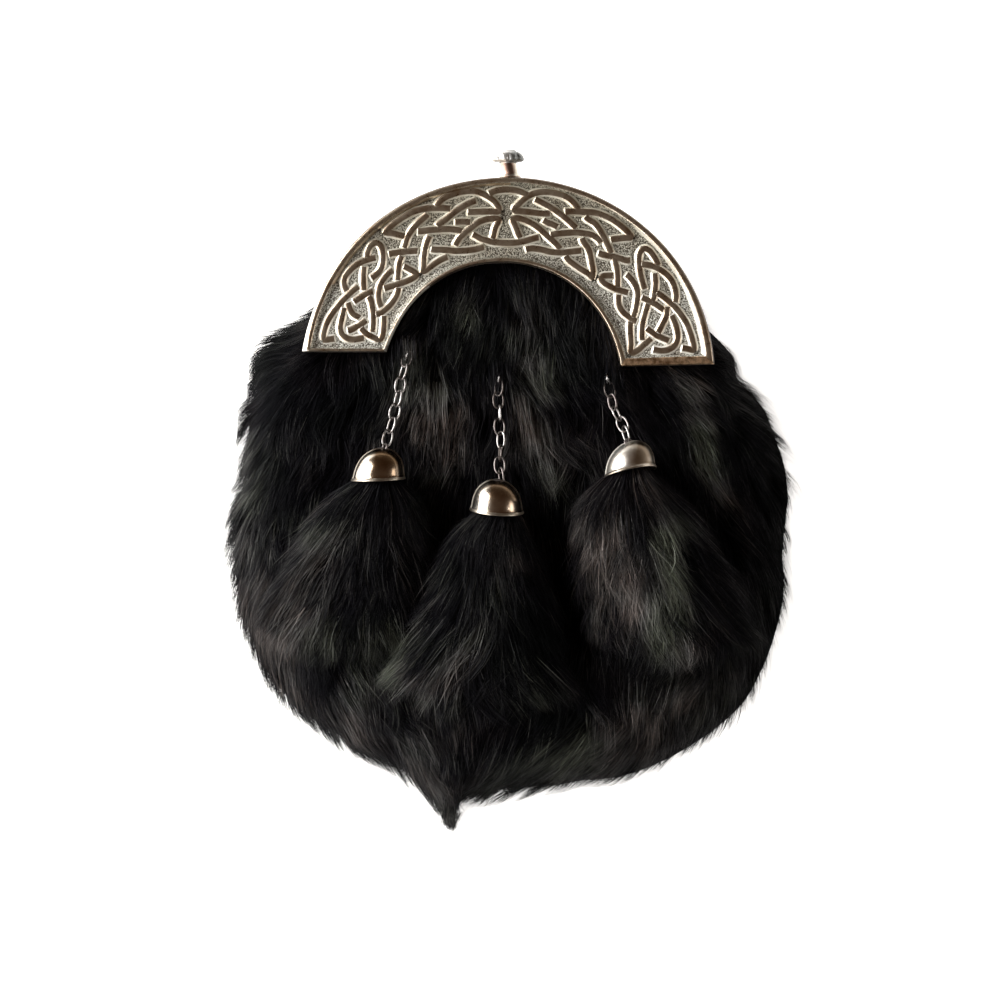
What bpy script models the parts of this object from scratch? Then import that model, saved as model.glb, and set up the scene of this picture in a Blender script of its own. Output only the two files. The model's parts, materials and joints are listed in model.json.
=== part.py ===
"""A full-dress sporran pouch with a fur front, lying on its back.

Metres, +Z up. +Y runs towards the knob, +X to the wearer's left as the front
is looked at, and the origin is under the middle of the whole object, on the
surface that it lies on. Sizes below are in millimetres.
"""

import math

import bmesh
import bpy
from mathutils import Matrix, Vector

MM = 0.001

# ---------------------------------------------------------------- heights, z
LOOP_T = 2.0  # strap loops, leather
STRAP_GAP = 4.6  # between a loop and the back
BACK_Z = (6.6, 8.6)  # back panel, leather
SHELL_RIM_Z = 8.9  # rim of the front-and-gusset tray
FRONT_Z = 30.5  # outer face of the leather front
LEATHER_T = 2.0
PILE_Z = 39.0  # top of the fur's dense outer form
BED_Z = 32.8  # fur pressed flat under the cantle
CANTLE_FOOT_Z = 33.1  # lower edge of the cantle's inner and end walls
SKIRT_FOOT_Z = 26.0  # lower edge of its outer wall
PLATE_Z = (37.5, 39.5)  # its plate
RIM_TOP_Z = 41.0

# ----------------------------------------------------------------- cantle, xy
ARCH_Y = 37.4  # centre of the outer arc
ARCH_R = 77.7
INNER_C = (-1.5, 40.5)  # centre of the inner arc
INNER_R = 43.8
LEG_END_Y = {-1: 50.8, 1: 45.6}  # the two legs end at unlike heights
RIM_W = 3.3
WALL_T = 1.8
POST_R, POST_HEAD_R, POST_RING_R = 1.6, 3.0, 57.0
POST_ANGLES = (30, 90, 150)
GAP = 0.4

KNOB_Z = 34.5
KNOB_SCREW_R = 1.5

# ------------------------------------------------------------------- outlines
MIDDLE = Vector((0.0, -8.0))  # outlines are read as radii about this point

# Fur, as the photo shows its edge: y, left x, right x, from the cantle down.
FUR_TOP_R = 73.5
FUR_ROWS = (
    # y, left, right
    (64, -76.0, 68.5),
    (56, -88.0, 75.5),
    (47, -95.0, 84.0),
    (36, -98.5, 91.0),
    (22, -101.0, 98.0),
    (4, -101.5, 102.0),
    (-18, -103.5, 103.5),
    (-38, -102.0, 102.0),
    (-54, -98.0, 98.0),
    (-68, -91.5, 93.0),
    (-80, -82.5, 85.5),
    (-92, -68.0, 72.0),
    (-102, -51.5, 54.5),
    (-108, -39.0, 35.0),
    (-112.5, -33.5, 0.0),
    (-118, -29.5, -16.0),
    (-125.0, -22.5, -19.5),
)

# Leather of the pouch: y, half width.
POUCH_TOP_R = 71.0
POUCH_ROWS = (
    # y, half
    (62, 68.0),
    (47, 75.0),
    (28, 81.5),
    (6, 85.0),
    (-20, 86.0),
    (-44, 82.5),
    (-64, 72.5),
    (-79, 57.0),
    (-89, 36.0),
    (-94, 12.0),
)

# Surfaces over those outlines, ring by ring. blend goes from the leather's
# edge, 0, to the fur's, 1; scale and grow then shrink or widen the ring.
FUR_RINGS = (
    # blend, scale, grow, z
    (0.00, 0.35, 0.0, PILE_Z),
    (0.00, 0.60, 0.0, PILE_Z),
    (0.00, 0.80, 0.0, PILE_Z - 0.4),
    (0.00, 0.93, 0.0, PILE_Z - 1.8),
    (0.12, 1.00, 0.0, PILE_Z - 4.5),
    (0.45, 1.00, 0.0, 29.0),
    (0.75, 1.00, 0.0, 21.5),
    (0.93, 1.00, 0.0, 13.5),
    (1.00, 1.00, 0.0, 7.0),
    (0.97, 1.00, 0.0, 2.0),
    (0.86, 1.00, 0.0, 0.0),
    (0.40, 1.00, 0.0, 0.0),
    (0.00, 1.00, 0.6, 1.5),
    (0.00, 1.00, 0.6, 22.4),
    (0.00, 1.00, -1.5, 27.4),
    (0.00, 1.00, -5.5, 30.0),
    (0.00, 1.00, -11.8, FRONT_Z + 0.35),
    (0.00, 0.45, 0.0, FRONT_Z + 0.35),
)
SHELL_RINGS = (
    # blend, scale, grow, z
    (0.0, 0.45, 0.0, FRONT_Z),
    (0.0, 1.00, -12.0, FRONT_Z),
    (0.0, 1.00, -6.0, 29.6),
    (0.0, 1.00, -2.0, 27.0),
    (0.0, 1.00, 0.0, 22.0),
    (0.0, 1.00, 0.0, SHELL_RIM_Z),
    (0.0, 1.00, -LEATHER_T, SHELL_RIM_Z),
    (0.0, 1.00, -LEATHER_T, 21.6),
    (0.0, 1.00, -LEATHER_T - 1.8, 25.6),
    (0.0, 1.00, -LEATHER_T - 5.2, 27.8),
    (0.0, 1.00, -LEATHER_T - 10.8, FRONT_Z - LEATHER_T),
    (0.0, 0.45, 0.0, FRONT_Z - LEATHER_T),
)

MOUTH_Y, MOUTH_W, MOUTH_H = 66.0, 104.0, 11.0

# Strap loop, from its lower foot to its upper one: y, z of its middle.
LOOP_X, LOOP_W = 62.0, 14.0
LOOP_ROWS = ((6, 5.3), (13, 5.3), (16.5, 1.0), (41.5, 1.0), (45, 5.3), (52, 5.3))

# ------------------------------------------------------------ chains and drops
LINK_L, LINK_W, LINK_WIRE = 6.6, 4.5, 0.85
LINK_TURN = (-12, 66)  # the links lie turned by these in turn
CHAIN_Z = 42.0
STAPLE_WIRE, STAPLE_HALF, STAPLE_FOOT = 1.2, 1.7, 4.4
DROP_Z = 49.9
# side: chain's top x, y; links; cap's mouth x, y; cap's lean and tassel's
# heading from straight down, in degrees towards +X; tassel's width factor and
# how much more it flares at its end
DROPS = {
    "left": dict(
        top=(-37.3, 48.8), links=7, mouth=(-47.5, 2.6), lean=-6, heading=-18, wide=0.98, flare=0.0
    ),
    "middle": dict(
        top=(-3.5, 40.2), links=8, mouth=(-4.0, -9.2), lean=-1, heading=-1, wide=0.97, flare=0.24
    ),
    "right": dict(
        top=(36.3, 40.3), links=5, mouth=(44.7, 6.4), lean=5, heading=12, wide=1.08, flare=0.0
    ),
}
CAP_H, EYE_R, EYE_WIRE_R = 12.2, 1.5, 0.5
# Cap's wall from the top of its outside, over the rolled rim, to the top of
# its inside: radius, height over the mouth.
CAP_ROWS = (
    # r, t
    (0.0, 12.2),
    (2.6, 11.9),
    (5.6, 10.4),
    (8.0, 7.8),
    (9.3, 4.6),
    (9.6, 1.9),
    (10.2, 1.3),
    (10.2, 0.3),
    (9.7, 0.0),
    (9.0, 0.2),
    (8.8, 1.9),
    (8.4, 4.5),
    (7.3, 7.2),
    (5.1, 9.6),
    (2.4, 11.0),
    (0.0, 11.3),
)
# Tassel, from its root in the cap to its end: along, half width, half height.
TASSEL_ROWS = (
    # s, w, h
    (-8.0, 3.6, 3.6),
    (-5.5, 6.2, 6.2),
    (-1.0, 8.2, 8.2),
    (2.5, 9.6, 8.8),
    (11.0, 15.5, 9.3),
    (25.0, 22.0, 9.7),
    (42.0, 26.8, 9.6),
    (58.0, 28.2, 8.8),
    (70.0, 24.5, 7.2),
    (78.0, 15.5, 4.6),
)
TASSEL_END = 83.0
TASSEL_SIDES = 16

# Knob, from its top down to the end of its screw: radius, height over the arc.
KNOB_ROWS = (
    # r, t
    (0.0, 9.9),
    (2.6, 9.6),
    (4.7, 8.6),
    (5.8, 7.0),
    (5.8, 5.6),
    (5.0, 4.9),
    (3.1, 4.4),
    (2.6, 3.6),
    (2.6, 1.6),
    (3.5, 0.9),
    (3.5, 0.4),
    (KNOB_SCREW_R, 0.4),
    (KNOB_SCREW_R, -6.0),
    (0.0, -6.0),
)


# -------------------------------------------------------------------- helpers
def clear_scene():
    for ob in list(bpy.data.objects):
        bpy.data.objects.remove(ob, do_unlink=True)


def collection(name):
    made = bpy.data.collections.new(name)
    bpy.context.scene.collection.children.link(made)
    return made


def material(name, colour, rough, metal=0.0):
    mat = bpy.data.materials.new(name)
    mat.use_nodes = True
    shader = mat.node_tree.nodes["Principled BSDF"]
    shader.inputs["Base Color"].default_value = (*colour, 1)
    shader.inputs["Roughness"].default_value = rough
    shader.inputs["Metallic"].default_value = metal
    return mat


def place(name, data, group, mat=None, at=(0, 0, 0), parent=None):
    ob = bpy.data.objects.new(name, data)
    group.objects.link(ob)
    ob.location = Vector(at) * MM
    ob.parent = parent
    if mat:
        data.materials.append(mat)
    return ob


def cutter(ob):
    ob.hide_render = True
    ob.display_type = "WIRE"
    return ob


def mesh_of(name, points, faces, smooth=True, flat=False):
    """A mesh from points in millimetres, its faces turned to point out.
    Unless its faces are flat, they are cut into triangles."""
    me = bpy.data.meshes.new(name)
    me.from_pydata([Vector(p) * MM for p in points], [], faces)
    bm = bmesh.new()
    bm.from_mesh(me)
    if not flat:
        bmesh.ops.triangulate(bm, faces=bm.faces)
    bmesh.ops.recalc_face_normals(bm, faces=bm.faces)
    bm.to_mesh(me)
    bm.free()
    if smooth:
        me.shade_smooth()
        me.set_sharp_from_angle(angle=math.radians(40))
    return me


def ring_faces(rings, sides, first_pole=None, last_pole=None, closed=False):
    """Quads between rings of points, with fans at the poles if there are any."""
    faces = []
    pairs = [(k, k + 1) for k in range(rings - 1)]
    if closed:
        pairs.append((rings - 1, 0))
    for a, b in pairs:
        for i in range(sides):
            j = (i + 1) % sides
            faces.append((a * sides + i, a * sides + j, b * sides + j, b * sides + i))
    for pole, ring in ((first_pole, 0), (last_pole, rings - 1)):
        if pole is not None:
            for i in range(sides):
                faces.append((pole, ring * sides + i, ring * sides + (i + 1) % sides))
    return faces


def smooth_loop(points, per=6):
    """A closed curve through the points, read at per points a stretch."""
    out = []
    n = len(points)
    for i in range(n):
        p0, p1, p2, p3 = (Vector(points[(i + k) % n]) for k in (-1, 0, 1, 2))
        for k in range(per):
            t = k / per
            out.append(
                0.5
                * (
                    2 * p1
                    + (p2 - p0) * t
                    + (2 * p0 - 5 * p1 + 4 * p2 - p3) * t * t
                    + (3 * p1 - p0 - 3 * p2 + p3) * t**3
                )
            )
    return out


def outline(top_r, rows):
    """Arc over the top, then the rows' left edges down and right edges up."""
    arc = [
        (top_r * math.cos(math.radians(a)), ARCH_Y + top_r * math.sin(math.radians(a)))
        for a in range(30, 151, 15)
    ]
    left = [(row[1], row[0]) for row in rows]
    right = [(row[2], row[0]) for row in reversed(rows)]
    return [Vector(p) for p in arc + left + right]


def polar(points):
    """Angle and radius about MIDDLE, in order of angle."""
    return sorted(
        (math.atan2(p.y - MIDDLE.y, p.x - MIDDLE.x) % math.tau, (p - MIDDLE).length)
        for p in points
    )


def radius(table, angle):
    angle %= math.tau
    table = [(table[-1][0] - math.tau, table[-1][1]), *table]
    table.append((table[1][0] + math.tau, table[1][1]))
    for (a0, r0), (a1, r1) in zip(table, table[1:]):
        if a0 <= angle <= a1:
            return r0 + (r1 - r0) * (angle - a0) / max(a1 - a0, 1e-9)


FUR_EDGE = outline(FUR_TOP_R, FUR_ROWS)
POUCH_EDGE = outline(POUCH_TOP_R, [(y, -half, half) for y, half in POUCH_ROWS])
FUR_POLAR = polar(smooth_loop(FUR_EDGE))
POUCH_POLAR = polar(smooth_loop(POUCH_EDGE))


def ring_angles():
    """The fur edge's own corners, with more between where they lie far apart."""
    corners = [a for a, _ in polar(FUR_EDGE)]
    out = []
    for a, b in zip(corners, corners[1:] + [corners[0] + math.tau]):
        parts = max(1, round((b - a) / math.radians(7.5)))
        out += [a + (b - a) * k / parts for k in range(parts)]
    return out


ANGLES = ring_angles()


def ring_point(angle, blend, scale, grow):
    inner, outer = radius(POUCH_POLAR, angle), radius(FUR_POLAR, angle)
    r = (inner + (outer - inner) * blend) * scale + grow
    return MIDDLE + Vector((math.cos(angle), math.sin(angle))) * r


def shell(name, rows):
    """A closed shell whose rings run from its outer pole to its inner one."""
    points = []
    for blend, scale, grow, z in rows:
        for a in ANGLES:
            p = ring_point(a, blend, scale, grow)
            points.append((p.x, p.y, z))
    points += [(*MIDDLE, rows[0][3]), (*MIDDLE, rows[-1][3])]
    n = len(points)
    return mesh_of(name, points, ring_faces(len(rows), len(ANGLES), n - 2, n - 1))


def fur_top(x, y):
    """Height of the fur's outer form over a point."""
    off = Vector((x, y)) - MIDDLE
    angle, r = math.atan2(off.y, off.x), off.length
    last_r, last_z = 0.0, FUR_RINGS[0][3]
    for blend, scale, grow, z in FUR_RINGS:
        ring_r = (ring_point(angle, blend, scale, grow) - MIDDLE).length
        if r <= ring_r:
            return last_z + (z - last_z) * (r - last_r) / max(ring_r - last_r, 1e-6)
        if z < 8:
            break
        last_r, last_z = ring_r, z
    return 7.0


def prism(name, edge, low, high, smooth=False):
    """A flat outline, as a list of x, y, carried from low to high."""
    n = len(edge)
    points = [(x, y, z) for z in (low, high) for x, y in edge]
    faces = [(i, (i + 1) % n, n + (i + 1) % n, n + i) for i in range(n)]
    faces += [tuple(range(n)), tuple(range(n, 2 * n))]
    return mesh_of(name, points, faces, smooth, flat=True)


def cylinder(name, r, depth, sides=16, turn=8.5):
    """Along Z, middle at its own origin, its corners turned off the axes."""
    me = bpy.data.meshes.new(name)
    bm = bmesh.new()
    bmesh.ops.create_cone(
        bm,
        cap_ends=True,
        segments=sides,
        radius1=r * MM,
        radius2=r * MM,
        depth=depth * MM,
        matrix=Matrix.Rotation(math.radians(turn), 4, "Z"),
    )
    bm.to_mesh(me)
    bm.free()
    return me


def box(name, x, y, z):
    me = bpy.data.meshes.new(name)
    bm = bmesh.new()
    bmesh.ops.create_cube(bm, size=1.0)
    bmesh.ops.scale(bm, verts=bm.verts, vec=Vector((x, y, z)) * MM)
    bm.to_mesh(me)
    bm.free()
    return me


def boolean(ob, other, kind):
    mod = ob.modifiers.new(f"{kind.lower()} {other.name}", "BOOLEAN")
    mod.operation = kind
    mod.object = other
    mod.solver = "EXACT"


def turned(name, rows, group, mat, steps, **where):
    """A profile of radius and height turned about Z."""
    me = bpy.data.meshes.new(name)
    me.from_pydata(
        [Vector((r, 0, t)) * MM for r, t in rows],
        [(i, i + 1) for i in range(len(rows) - 1)],
        [],
    )
    ob = place(name, me, group, mat, **where)
    mod = ob.modifiers.new("turn", "SCREW")
    mod.steps = mod.render_steps = steps
    mod.use_merge_vertices = True
    mod.merge_threshold = 0.00002
    mod.use_smooth_shade = True
    return ob


def wire(name, points, thick, group, mat, loop=False, sides=8, **where):
    curve = bpy.data.curves.new(name, "CURVE")
    curve.dimensions = "3D"
    curve.bevel_depth = thick / 2 * MM
    curve.bevel_resolution = (sides - 4) // 2
    curve.use_fill_caps = not loop
    line = curve.splines.new("POLY")
    line.points.add(len(points) - 1)
    for knot, p in zip(line.points, points):
        knot.co = (*(Vector(p) * MM), 1)
    line.use_cyclic_u = loop
    return place(name, curve, group, mat, **where)


# ------------------------------------------------------------------- outlines
def arc(centre, r, start, end, steps):
    return [
        (centre[0] + r * math.cos(a), centre[1] + r * math.sin(a))
        for a in (start + (end - start) * k / steps for k in range(steps + 1))
    ]


def cantle_outline(inset, foot=None, inner=None, steps=36):
    """The arch, narrowed by inset on every side. With inner, a band of the
    outer arc down to that radius instead."""
    foot = inset if foot is None else foot
    ends = {side: y + foot for side, y in LEG_END_Y.items()}
    outer_r = ARCH_R - inset
    a0 = math.asin((ends[1] - ARCH_Y) / outer_r)
    a1 = math.pi - math.asin((ends[-1] - ARCH_Y) / outer_r)
    edge = arc((0, ARCH_Y), outer_r, a0, a1, steps)
    centre, r = (INNER_C, INNER_R + inset) if inner is None else ((0, ARCH_Y), inner)
    b1 = math.pi - math.asin((ends[-1] - centre[1]) / r)
    b0 = math.asin((ends[1] - centre[1]) / r)
    return edge + arc(centre, r, b1, b0, steps)


def stadium(w, h, y, steps=8):
    r = h / 2
    right = arc((w / 2 - r, y), r, -math.pi / 2, math.pi / 2, steps)
    left = arc((-w / 2 + r, y), r, math.pi / 2, 3 * math.pi / 2, steps)
    return right + left


# ---------------------------------------------------------------------- build
def make_cantle(parts, cuts, silver):
    body = prism("cantle", cantle_outline(0), CANTLE_FOOT_Z, RIM_TOP_Z, smooth=True)
    cantle = place("cantle", body, parts, silver)
    field = prism("cantle field", cantle_outline(RIM_W), PLATE_Z[1], RIM_TOP_Z + 4)
    under = prism("cantle hollow", cantle_outline(WALL_T), CANTLE_FOOT_Z - 4, PLATE_Z[0])
    skirt = prism(
        "cantle skirt",
        cantle_outline(0, inner=ARCH_R - WALL_T),
        SKIRT_FOOT_Z,
        CANTLE_FOOT_Z + 2.5,
    )
    boolean(cantle, cutter(place("cantle field", field, cuts)), "DIFFERENCE")
    boolean(cantle, cutter(place("cantle hollow", under, cuts)), "DIFFERENCE")
    boolean(cantle, cutter(place("cantle skirt", skirt, cuts)), "UNION")
    # rivet posts through the fur and the leather, closed over inside the pouch
    inside = FRONT_Z - LEATHER_T - 0.3
    for angle in POST_ANGLES:
        a = math.radians(angle)
        x, y = POST_RING_R * math.cos(a), ARCH_Y + POST_RING_R * math.sin(a)
        low, high = inside - 1.2, PLATE_Z[0] + 0.8
        post = place(
            f"post {angle}",
            cylinder(f"post {angle}", POST_R, high - low, 12),
            cuts,
            at=(x, y, (low + high) / 2),
        )
        head = place(
            f"post head {angle}",
            cylinder(f"post head {angle}", POST_HEAD_R, 1.2, 12),
            cuts,
            at=(x, y, inside - 0.6),
        )
        boolean(cantle, cutter(post), "UNION")
        boolean(cantle, cutter(head), "UNION")
    # hole in the skirt for the knob's screw
    hole = place(
        "knob hole",
        cylinder("knob hole", KNOB_SCREW_R + 0.35, 12, 16),
        cuts,
        at=(0, ARCH_Y + ARCH_R, KNOB_Z),
    )
    hole.rotation_euler.x = math.radians(90)
    boolean(cantle, cutter(hole), "DIFFERENCE")
    return cantle


def post_holes(ob, cuts, name, low, high):
    for angle in POST_ANGLES:
        a = math.radians(angle)
        x, y = POST_RING_R * math.cos(a), ARCH_Y + POST_RING_R * math.sin(a)
        hole = place(
            f"{name} post hole {angle}",
            cylinder(f"{name} post hole {angle}", POST_R + GAP, high - low, 12),
            cuts,
            at=(x, y, (low + high) / 2),
        )
        boolean(ob, cutter(hole), "DIFFERENCE")


def staple_holes(ob, cuts, name, long, wide, low, high):
    for side, drop in DROPS.items():
        well = place(
            f"{name} staple hole {side}",
            box(f"{name} staple hole {side}", wide, long, high - low),
            cuts,
            at=(*drop["top"], (low + high) / 2),
        )
        well.rotation_euler.z = chain_line(drop)[2]
        boolean(ob, cutter(well), "DIFFERENCE")


def drop_eye(drop):
    """Where the cap's eyelet has its middle."""
    lean = math.radians(drop["lean"])
    up = Vector((-math.sin(lean), math.cos(lean), 0))
    return Vector((*drop["mouth"], DROP_Z)) + up * (CAP_H + EYE_R)


def chain_line(drop):
    """Start, end and turn about Z of a chain whose own line is along -Y."""
    start, end = Vector((*drop["top"], CHAIN_Z)), drop_eye(drop)
    run = end - start
    return start, end, math.atan2(run.x, -run.y)


def make_chain(side, drop, parts, steel):
    start, end, _ = chain_line(drop)
    line = (end - start).normalized()
    across = Vector((0, 0, 1)).cross(line).normalized()
    up = line.cross(across)
    half = LINK_L / 2 - LINK_WIRE / 2
    pitch = ((end - start).length - 2 * half) / (drop["links"] - 1)
    wide = LINK_W / 2 - LINK_WIRE / 2
    oval = []
    for k in range(14):
        a = math.tau * (k + 0.5) / 14
        c, s = math.cos(a), math.sin(a)
        oval.append((half * math.copysign(abs(c) ** 0.85, c), wide * math.copysign(abs(s) ** 0.85, s), 0))
    for k in range(drop["links"]):
        link = wire(f"link_{side}_{k + 1}", oval, LINK_WIRE, parts, steel, loop=True, sides=6)
        turn = Matrix.Rotation(math.radians(LINK_TURN[k % 2]), 3, "X")
        frame = Matrix((line, across, up)).transposed() @ turn
        link.matrix_world = Matrix.Translation((start + line * (half + pitch * k)) * MM) @ frame.to_4x4()


def make_staple(side, drop, parts, steel):
    foot_z = FRONT_Z - LEATHER_T - 0.3 - STAPLE_WIRE / 2
    bend = CHAIN_Z - 0.3
    crown = [
        (0, STAPLE_HALF * math.cos(a), bend + STAPLE_HALF * math.sin(a))
        for a in (math.pi * k / 6 for k in range(7))
    ]
    route = [(0, STAPLE_FOOT, foot_z), (0, STAPLE_HALF + 0.7, foot_z), (0, STAPLE_HALF, foot_z + 0.7)]
    route += crown
    route += [(0, -y, z) for _, y, z in reversed(route[:3])]
    ob = wire(f"chain_staple_{side}", route, STAPLE_WIRE, parts, steel)
    ob.location = Vector((*drop["top"], 0)) * MM
    ob.rotation_euler.z = chain_line(drop)[2]


def make_cap(side, drop, holder, parts, cuts, chrome):
    cap = turned(f"tassel_cap_{side}", CAP_ROWS, parts, chrome, 22, parent=holder)
    cap.rotation_euler.x = math.radians(-90)
    bpy.ops.mesh.primitive_torus_add(
        major_segments=12, minor_segments=6, major_radius=EYE_R * MM, minor_radius=EYE_WIRE_R * MM
    )
    eye = bpy.context.object
    eye.name = f"eyelet {side}"
    for group in list(eye.users_collection):
        group.objects.unlink(eye)
    cuts.objects.link(eye)
    last_turn = LINK_TURN[(drop["links"] - 1) % 2]
    eye.parent = holder
    eye.location = Vector((0, CAP_H + EYE_R, 0)) * MM
    eye.rotation_euler.y = math.radians(90 - last_turn)
    boolean(cap, cutter(eye), "UNION")


def make_tassel(side, drop, holder, parts, fur):
    """Oval sections along a line that bends from the cap's axis to its own."""
    lean, heading = math.radians(drop["lean"]), math.radians(drop["heading"])
    points = []
    x, y = drop["mouth"]
    centres, last_s = [], 0.0
    for s, w, h in TASSEL_ROWS:
        if s <= 0:
            cx = x + math.sin(lean) * s
            cy = y - math.cos(lean) * s
            z = DROP_Z
            turn = lean
        else:
            turn = lean + (heading - lean) * min(1.0, s / 12)
            step = s - last_s
            cx, cy = centres[-1] if last_s else (x, y)
            cx, cy = cx + math.sin(turn) * step, cy - math.cos(turn) * step
            last_s = s
            centres.append((cx, cy))
        if s > 3:
            w *= drop["wide"] + drop["flare"] * min(1.0, max(0.0, (s - 36) / 22))
        section = []
        for k in range(TASSEL_SIDES):
            a = math.tau * k / TASSEL_SIDES
            aside = w * math.cos(a)
            section.append((cx + math.cos(turn) * aside, cy + math.sin(turn) * aside, h * math.sin(a)))
        if s > 0:
            rest = max(fur_top(px, py) + 0.8 - up for px, py, up in section)
            z = DROP_Z + (rest - DROP_Z) * min(1.0, s / 11)
        points += [(px, py, z + up) for px, py, up in section]
    step = TASSEL_END - last_s
    cx, cy = centres[-1]
    cx, cy = cx + math.sin(turn) * step, cy - math.cos(turn) * step
    root = Vector((x + math.sin(lean) * -9.0, y + math.cos(lean) * 9.0, DROP_Z))
    points += [tuple(root), (cx, cy, fur_top(cx, cy) + 2.5)]
    n = len(points)
    me = mesh_of(
        f"tassel_{side}", points, ring_faces(len(TASSEL_ROWS), TASSEL_SIDES, n - 2, n - 1)
    )
    ob = place(f"tassel_{side}", me, parts, fur)
    # the points are in world space, and the holder carries the tassel
    bpy.context.view_layer.update()
    ob.parent = holder
    ob.matrix_parent_inverse = holder.matrix_world.inverted()


def make_loop(side, sign, parts, leather):
    """A ribbon through LOOP_ROWS, given its thickness by Solidify."""
    points = [(x, y, z) for y, z in LOOP_ROWS for x in (-LOOP_W / 2, LOOP_W / 2)]
    faces = [(2 * k, 2 * k + 1, 2 * k + 3, 2 * k + 2) for k in range(len(LOOP_ROWS) - 1)]
    me = bpy.data.meshes.new(f"strap_loop_{side}")
    me.from_pydata([Vector(p) * MM for p in points], [], faces)
    ob = place(f"strap_loop_{side}", me, parts, leather, at=(sign * LOOP_X, 0, 0))
    mod = ob.modifiers.new("leather", "SOLIDIFY")
    mod.thickness = LOOP_T * MM
    mod.offset = 0
    mod.use_even_offset = True


def build():
    clear_scene()
    parts = collection("sporran_pouch")
    cuts = collection("cutters")
    silver = material("cast silver", (0.62, 0.59, 0.54), 0.3, 1.0)
    knob_silver = material("knob silver", (0.7, 0.68, 0.66), 0.15, 1.0)
    chrome = material("cap chrome", (0.75, 0.72, 0.7), 0.08, 1.0)
    steel = material("chain steel", (0.5, 0.5, 0.5), 0.25, 1.0)
    leather = material("black leather", (0.02, 0.018, 0.017), 0.5)
    back_leather = material("back leather", (0.03, 0.026, 0.024), 0.55)
    loop_leather = material("loop leather", (0.03, 0.026, 0.024), 0.5)
    fur = material("black fur", (0.012, 0.011, 0.011), 0.45)
    tassel_fur = material("tassel fur", (0.012, 0.011, 0.012), 0.42)

    make_cantle(parts, cuts, silver)
    knob = turned(
        "finial_knob",
        KNOB_ROWS,
        parts,
        knob_silver,
        20,
        at=(0, ARCH_Y + ARCH_R, KNOB_Z),
    )
    knob.rotation_euler.x = math.radians(-90)

    pouch = place("pouch_shell", shell("pouch_shell", SHELL_RINGS), parts, leather)
    post_holes(pouch, cuts, "leather", FRONT_Z - 5, FRONT_Z + 3)
    staple_holes(
        pouch,
        cuts,
        "leather",
        2 * STAPLE_HALF + STAPLE_WIRE + 2 * GAP,
        STAPLE_WIRE + 2 * GAP,
        FRONT_Z - 5,
        FRONT_Z + 3,
    )

    edge = [ring_point(a, 0, 1, 0) for a in ANGLES]
    back = place("back_panel", prism("back_panel", edge, *BACK_Z), parts, back_leather)
    mouth = prism("mouth", stadium(MOUTH_W, MOUTH_H, MOUTH_Y), BACK_Z[0] - 3, BACK_Z[1] + 3)
    boolean(back, cutter(place("mouth", mouth, cuts)), "DIFFERENCE")
    for side, sign in (("left", -1), ("right", 1)):
        make_loop(side, sign, parts, loop_leather)

    front = place("fur_front", shell("fur_front", FUR_RINGS), parts, fur)
    bed = prism("cantle bed", cantle_outline(-GAP), BED_Z, PILE_Z + 20)
    boolean(front, cutter(place("cantle bed", bed, cuts)), "DIFFERENCE")
    groove = prism(
        "skirt groove",
        cantle_outline(-GAP, inner=ARCH_R - WALL_T - GAP),
        SKIRT_FOOT_Z - GAP,
        PILE_Z + 19,
    )
    boolean(front, cutter(place("skirt groove", groove, cuts)), "DIFFERENCE")
    post_holes(front, cuts, "fur", FRONT_Z - 3, BED_Z + 3)
    staple_holes(front, cuts, "fur", 6.4, 3.4, FRONT_Z - 3, PILE_Z + 6)

    for side, drop in DROPS.items():
        make_staple(side, drop, parts, steel)
        make_chain(side, drop, parts, steel)
        holder = bpy.data.objects.new(f"drop {side}", None)
        parts.objects.link(holder)
        holder.location = Vector((*drop["mouth"], DROP_Z)) * MM
        holder.rotation_euler.z = math.radians(drop["lean"])
        make_cap(side, drop, holder, parts, cuts, chrome)
        make_tassel(side, drop, holder, parts, tassel_fur)


build()
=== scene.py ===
"""What is seen of a full-dress sporran pouch: fur, cast arch, chains and caps.

Everything is in the row frame. Sizes are in millimetres and become metres where
a mesh is made.
"""

import json
import math

import bpy
import numpy as np
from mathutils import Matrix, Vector

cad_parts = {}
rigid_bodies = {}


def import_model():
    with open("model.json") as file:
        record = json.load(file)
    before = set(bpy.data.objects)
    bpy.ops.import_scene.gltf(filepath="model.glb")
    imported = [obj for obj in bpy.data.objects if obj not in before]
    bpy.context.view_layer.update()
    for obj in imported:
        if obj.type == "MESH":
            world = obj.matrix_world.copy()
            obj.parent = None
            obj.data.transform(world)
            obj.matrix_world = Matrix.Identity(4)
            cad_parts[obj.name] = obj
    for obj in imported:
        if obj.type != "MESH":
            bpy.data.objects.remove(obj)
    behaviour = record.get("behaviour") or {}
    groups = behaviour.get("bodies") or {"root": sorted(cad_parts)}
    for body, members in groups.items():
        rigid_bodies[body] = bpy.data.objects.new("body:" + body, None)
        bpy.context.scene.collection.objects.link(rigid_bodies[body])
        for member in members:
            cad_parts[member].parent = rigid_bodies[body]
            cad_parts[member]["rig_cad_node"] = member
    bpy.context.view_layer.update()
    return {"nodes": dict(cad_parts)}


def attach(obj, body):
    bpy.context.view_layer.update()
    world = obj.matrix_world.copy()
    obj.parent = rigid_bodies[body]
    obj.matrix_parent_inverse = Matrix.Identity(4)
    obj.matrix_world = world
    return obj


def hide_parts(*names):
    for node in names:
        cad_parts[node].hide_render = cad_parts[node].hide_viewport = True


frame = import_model()

MM = 0.001
TAU = math.tau

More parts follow.
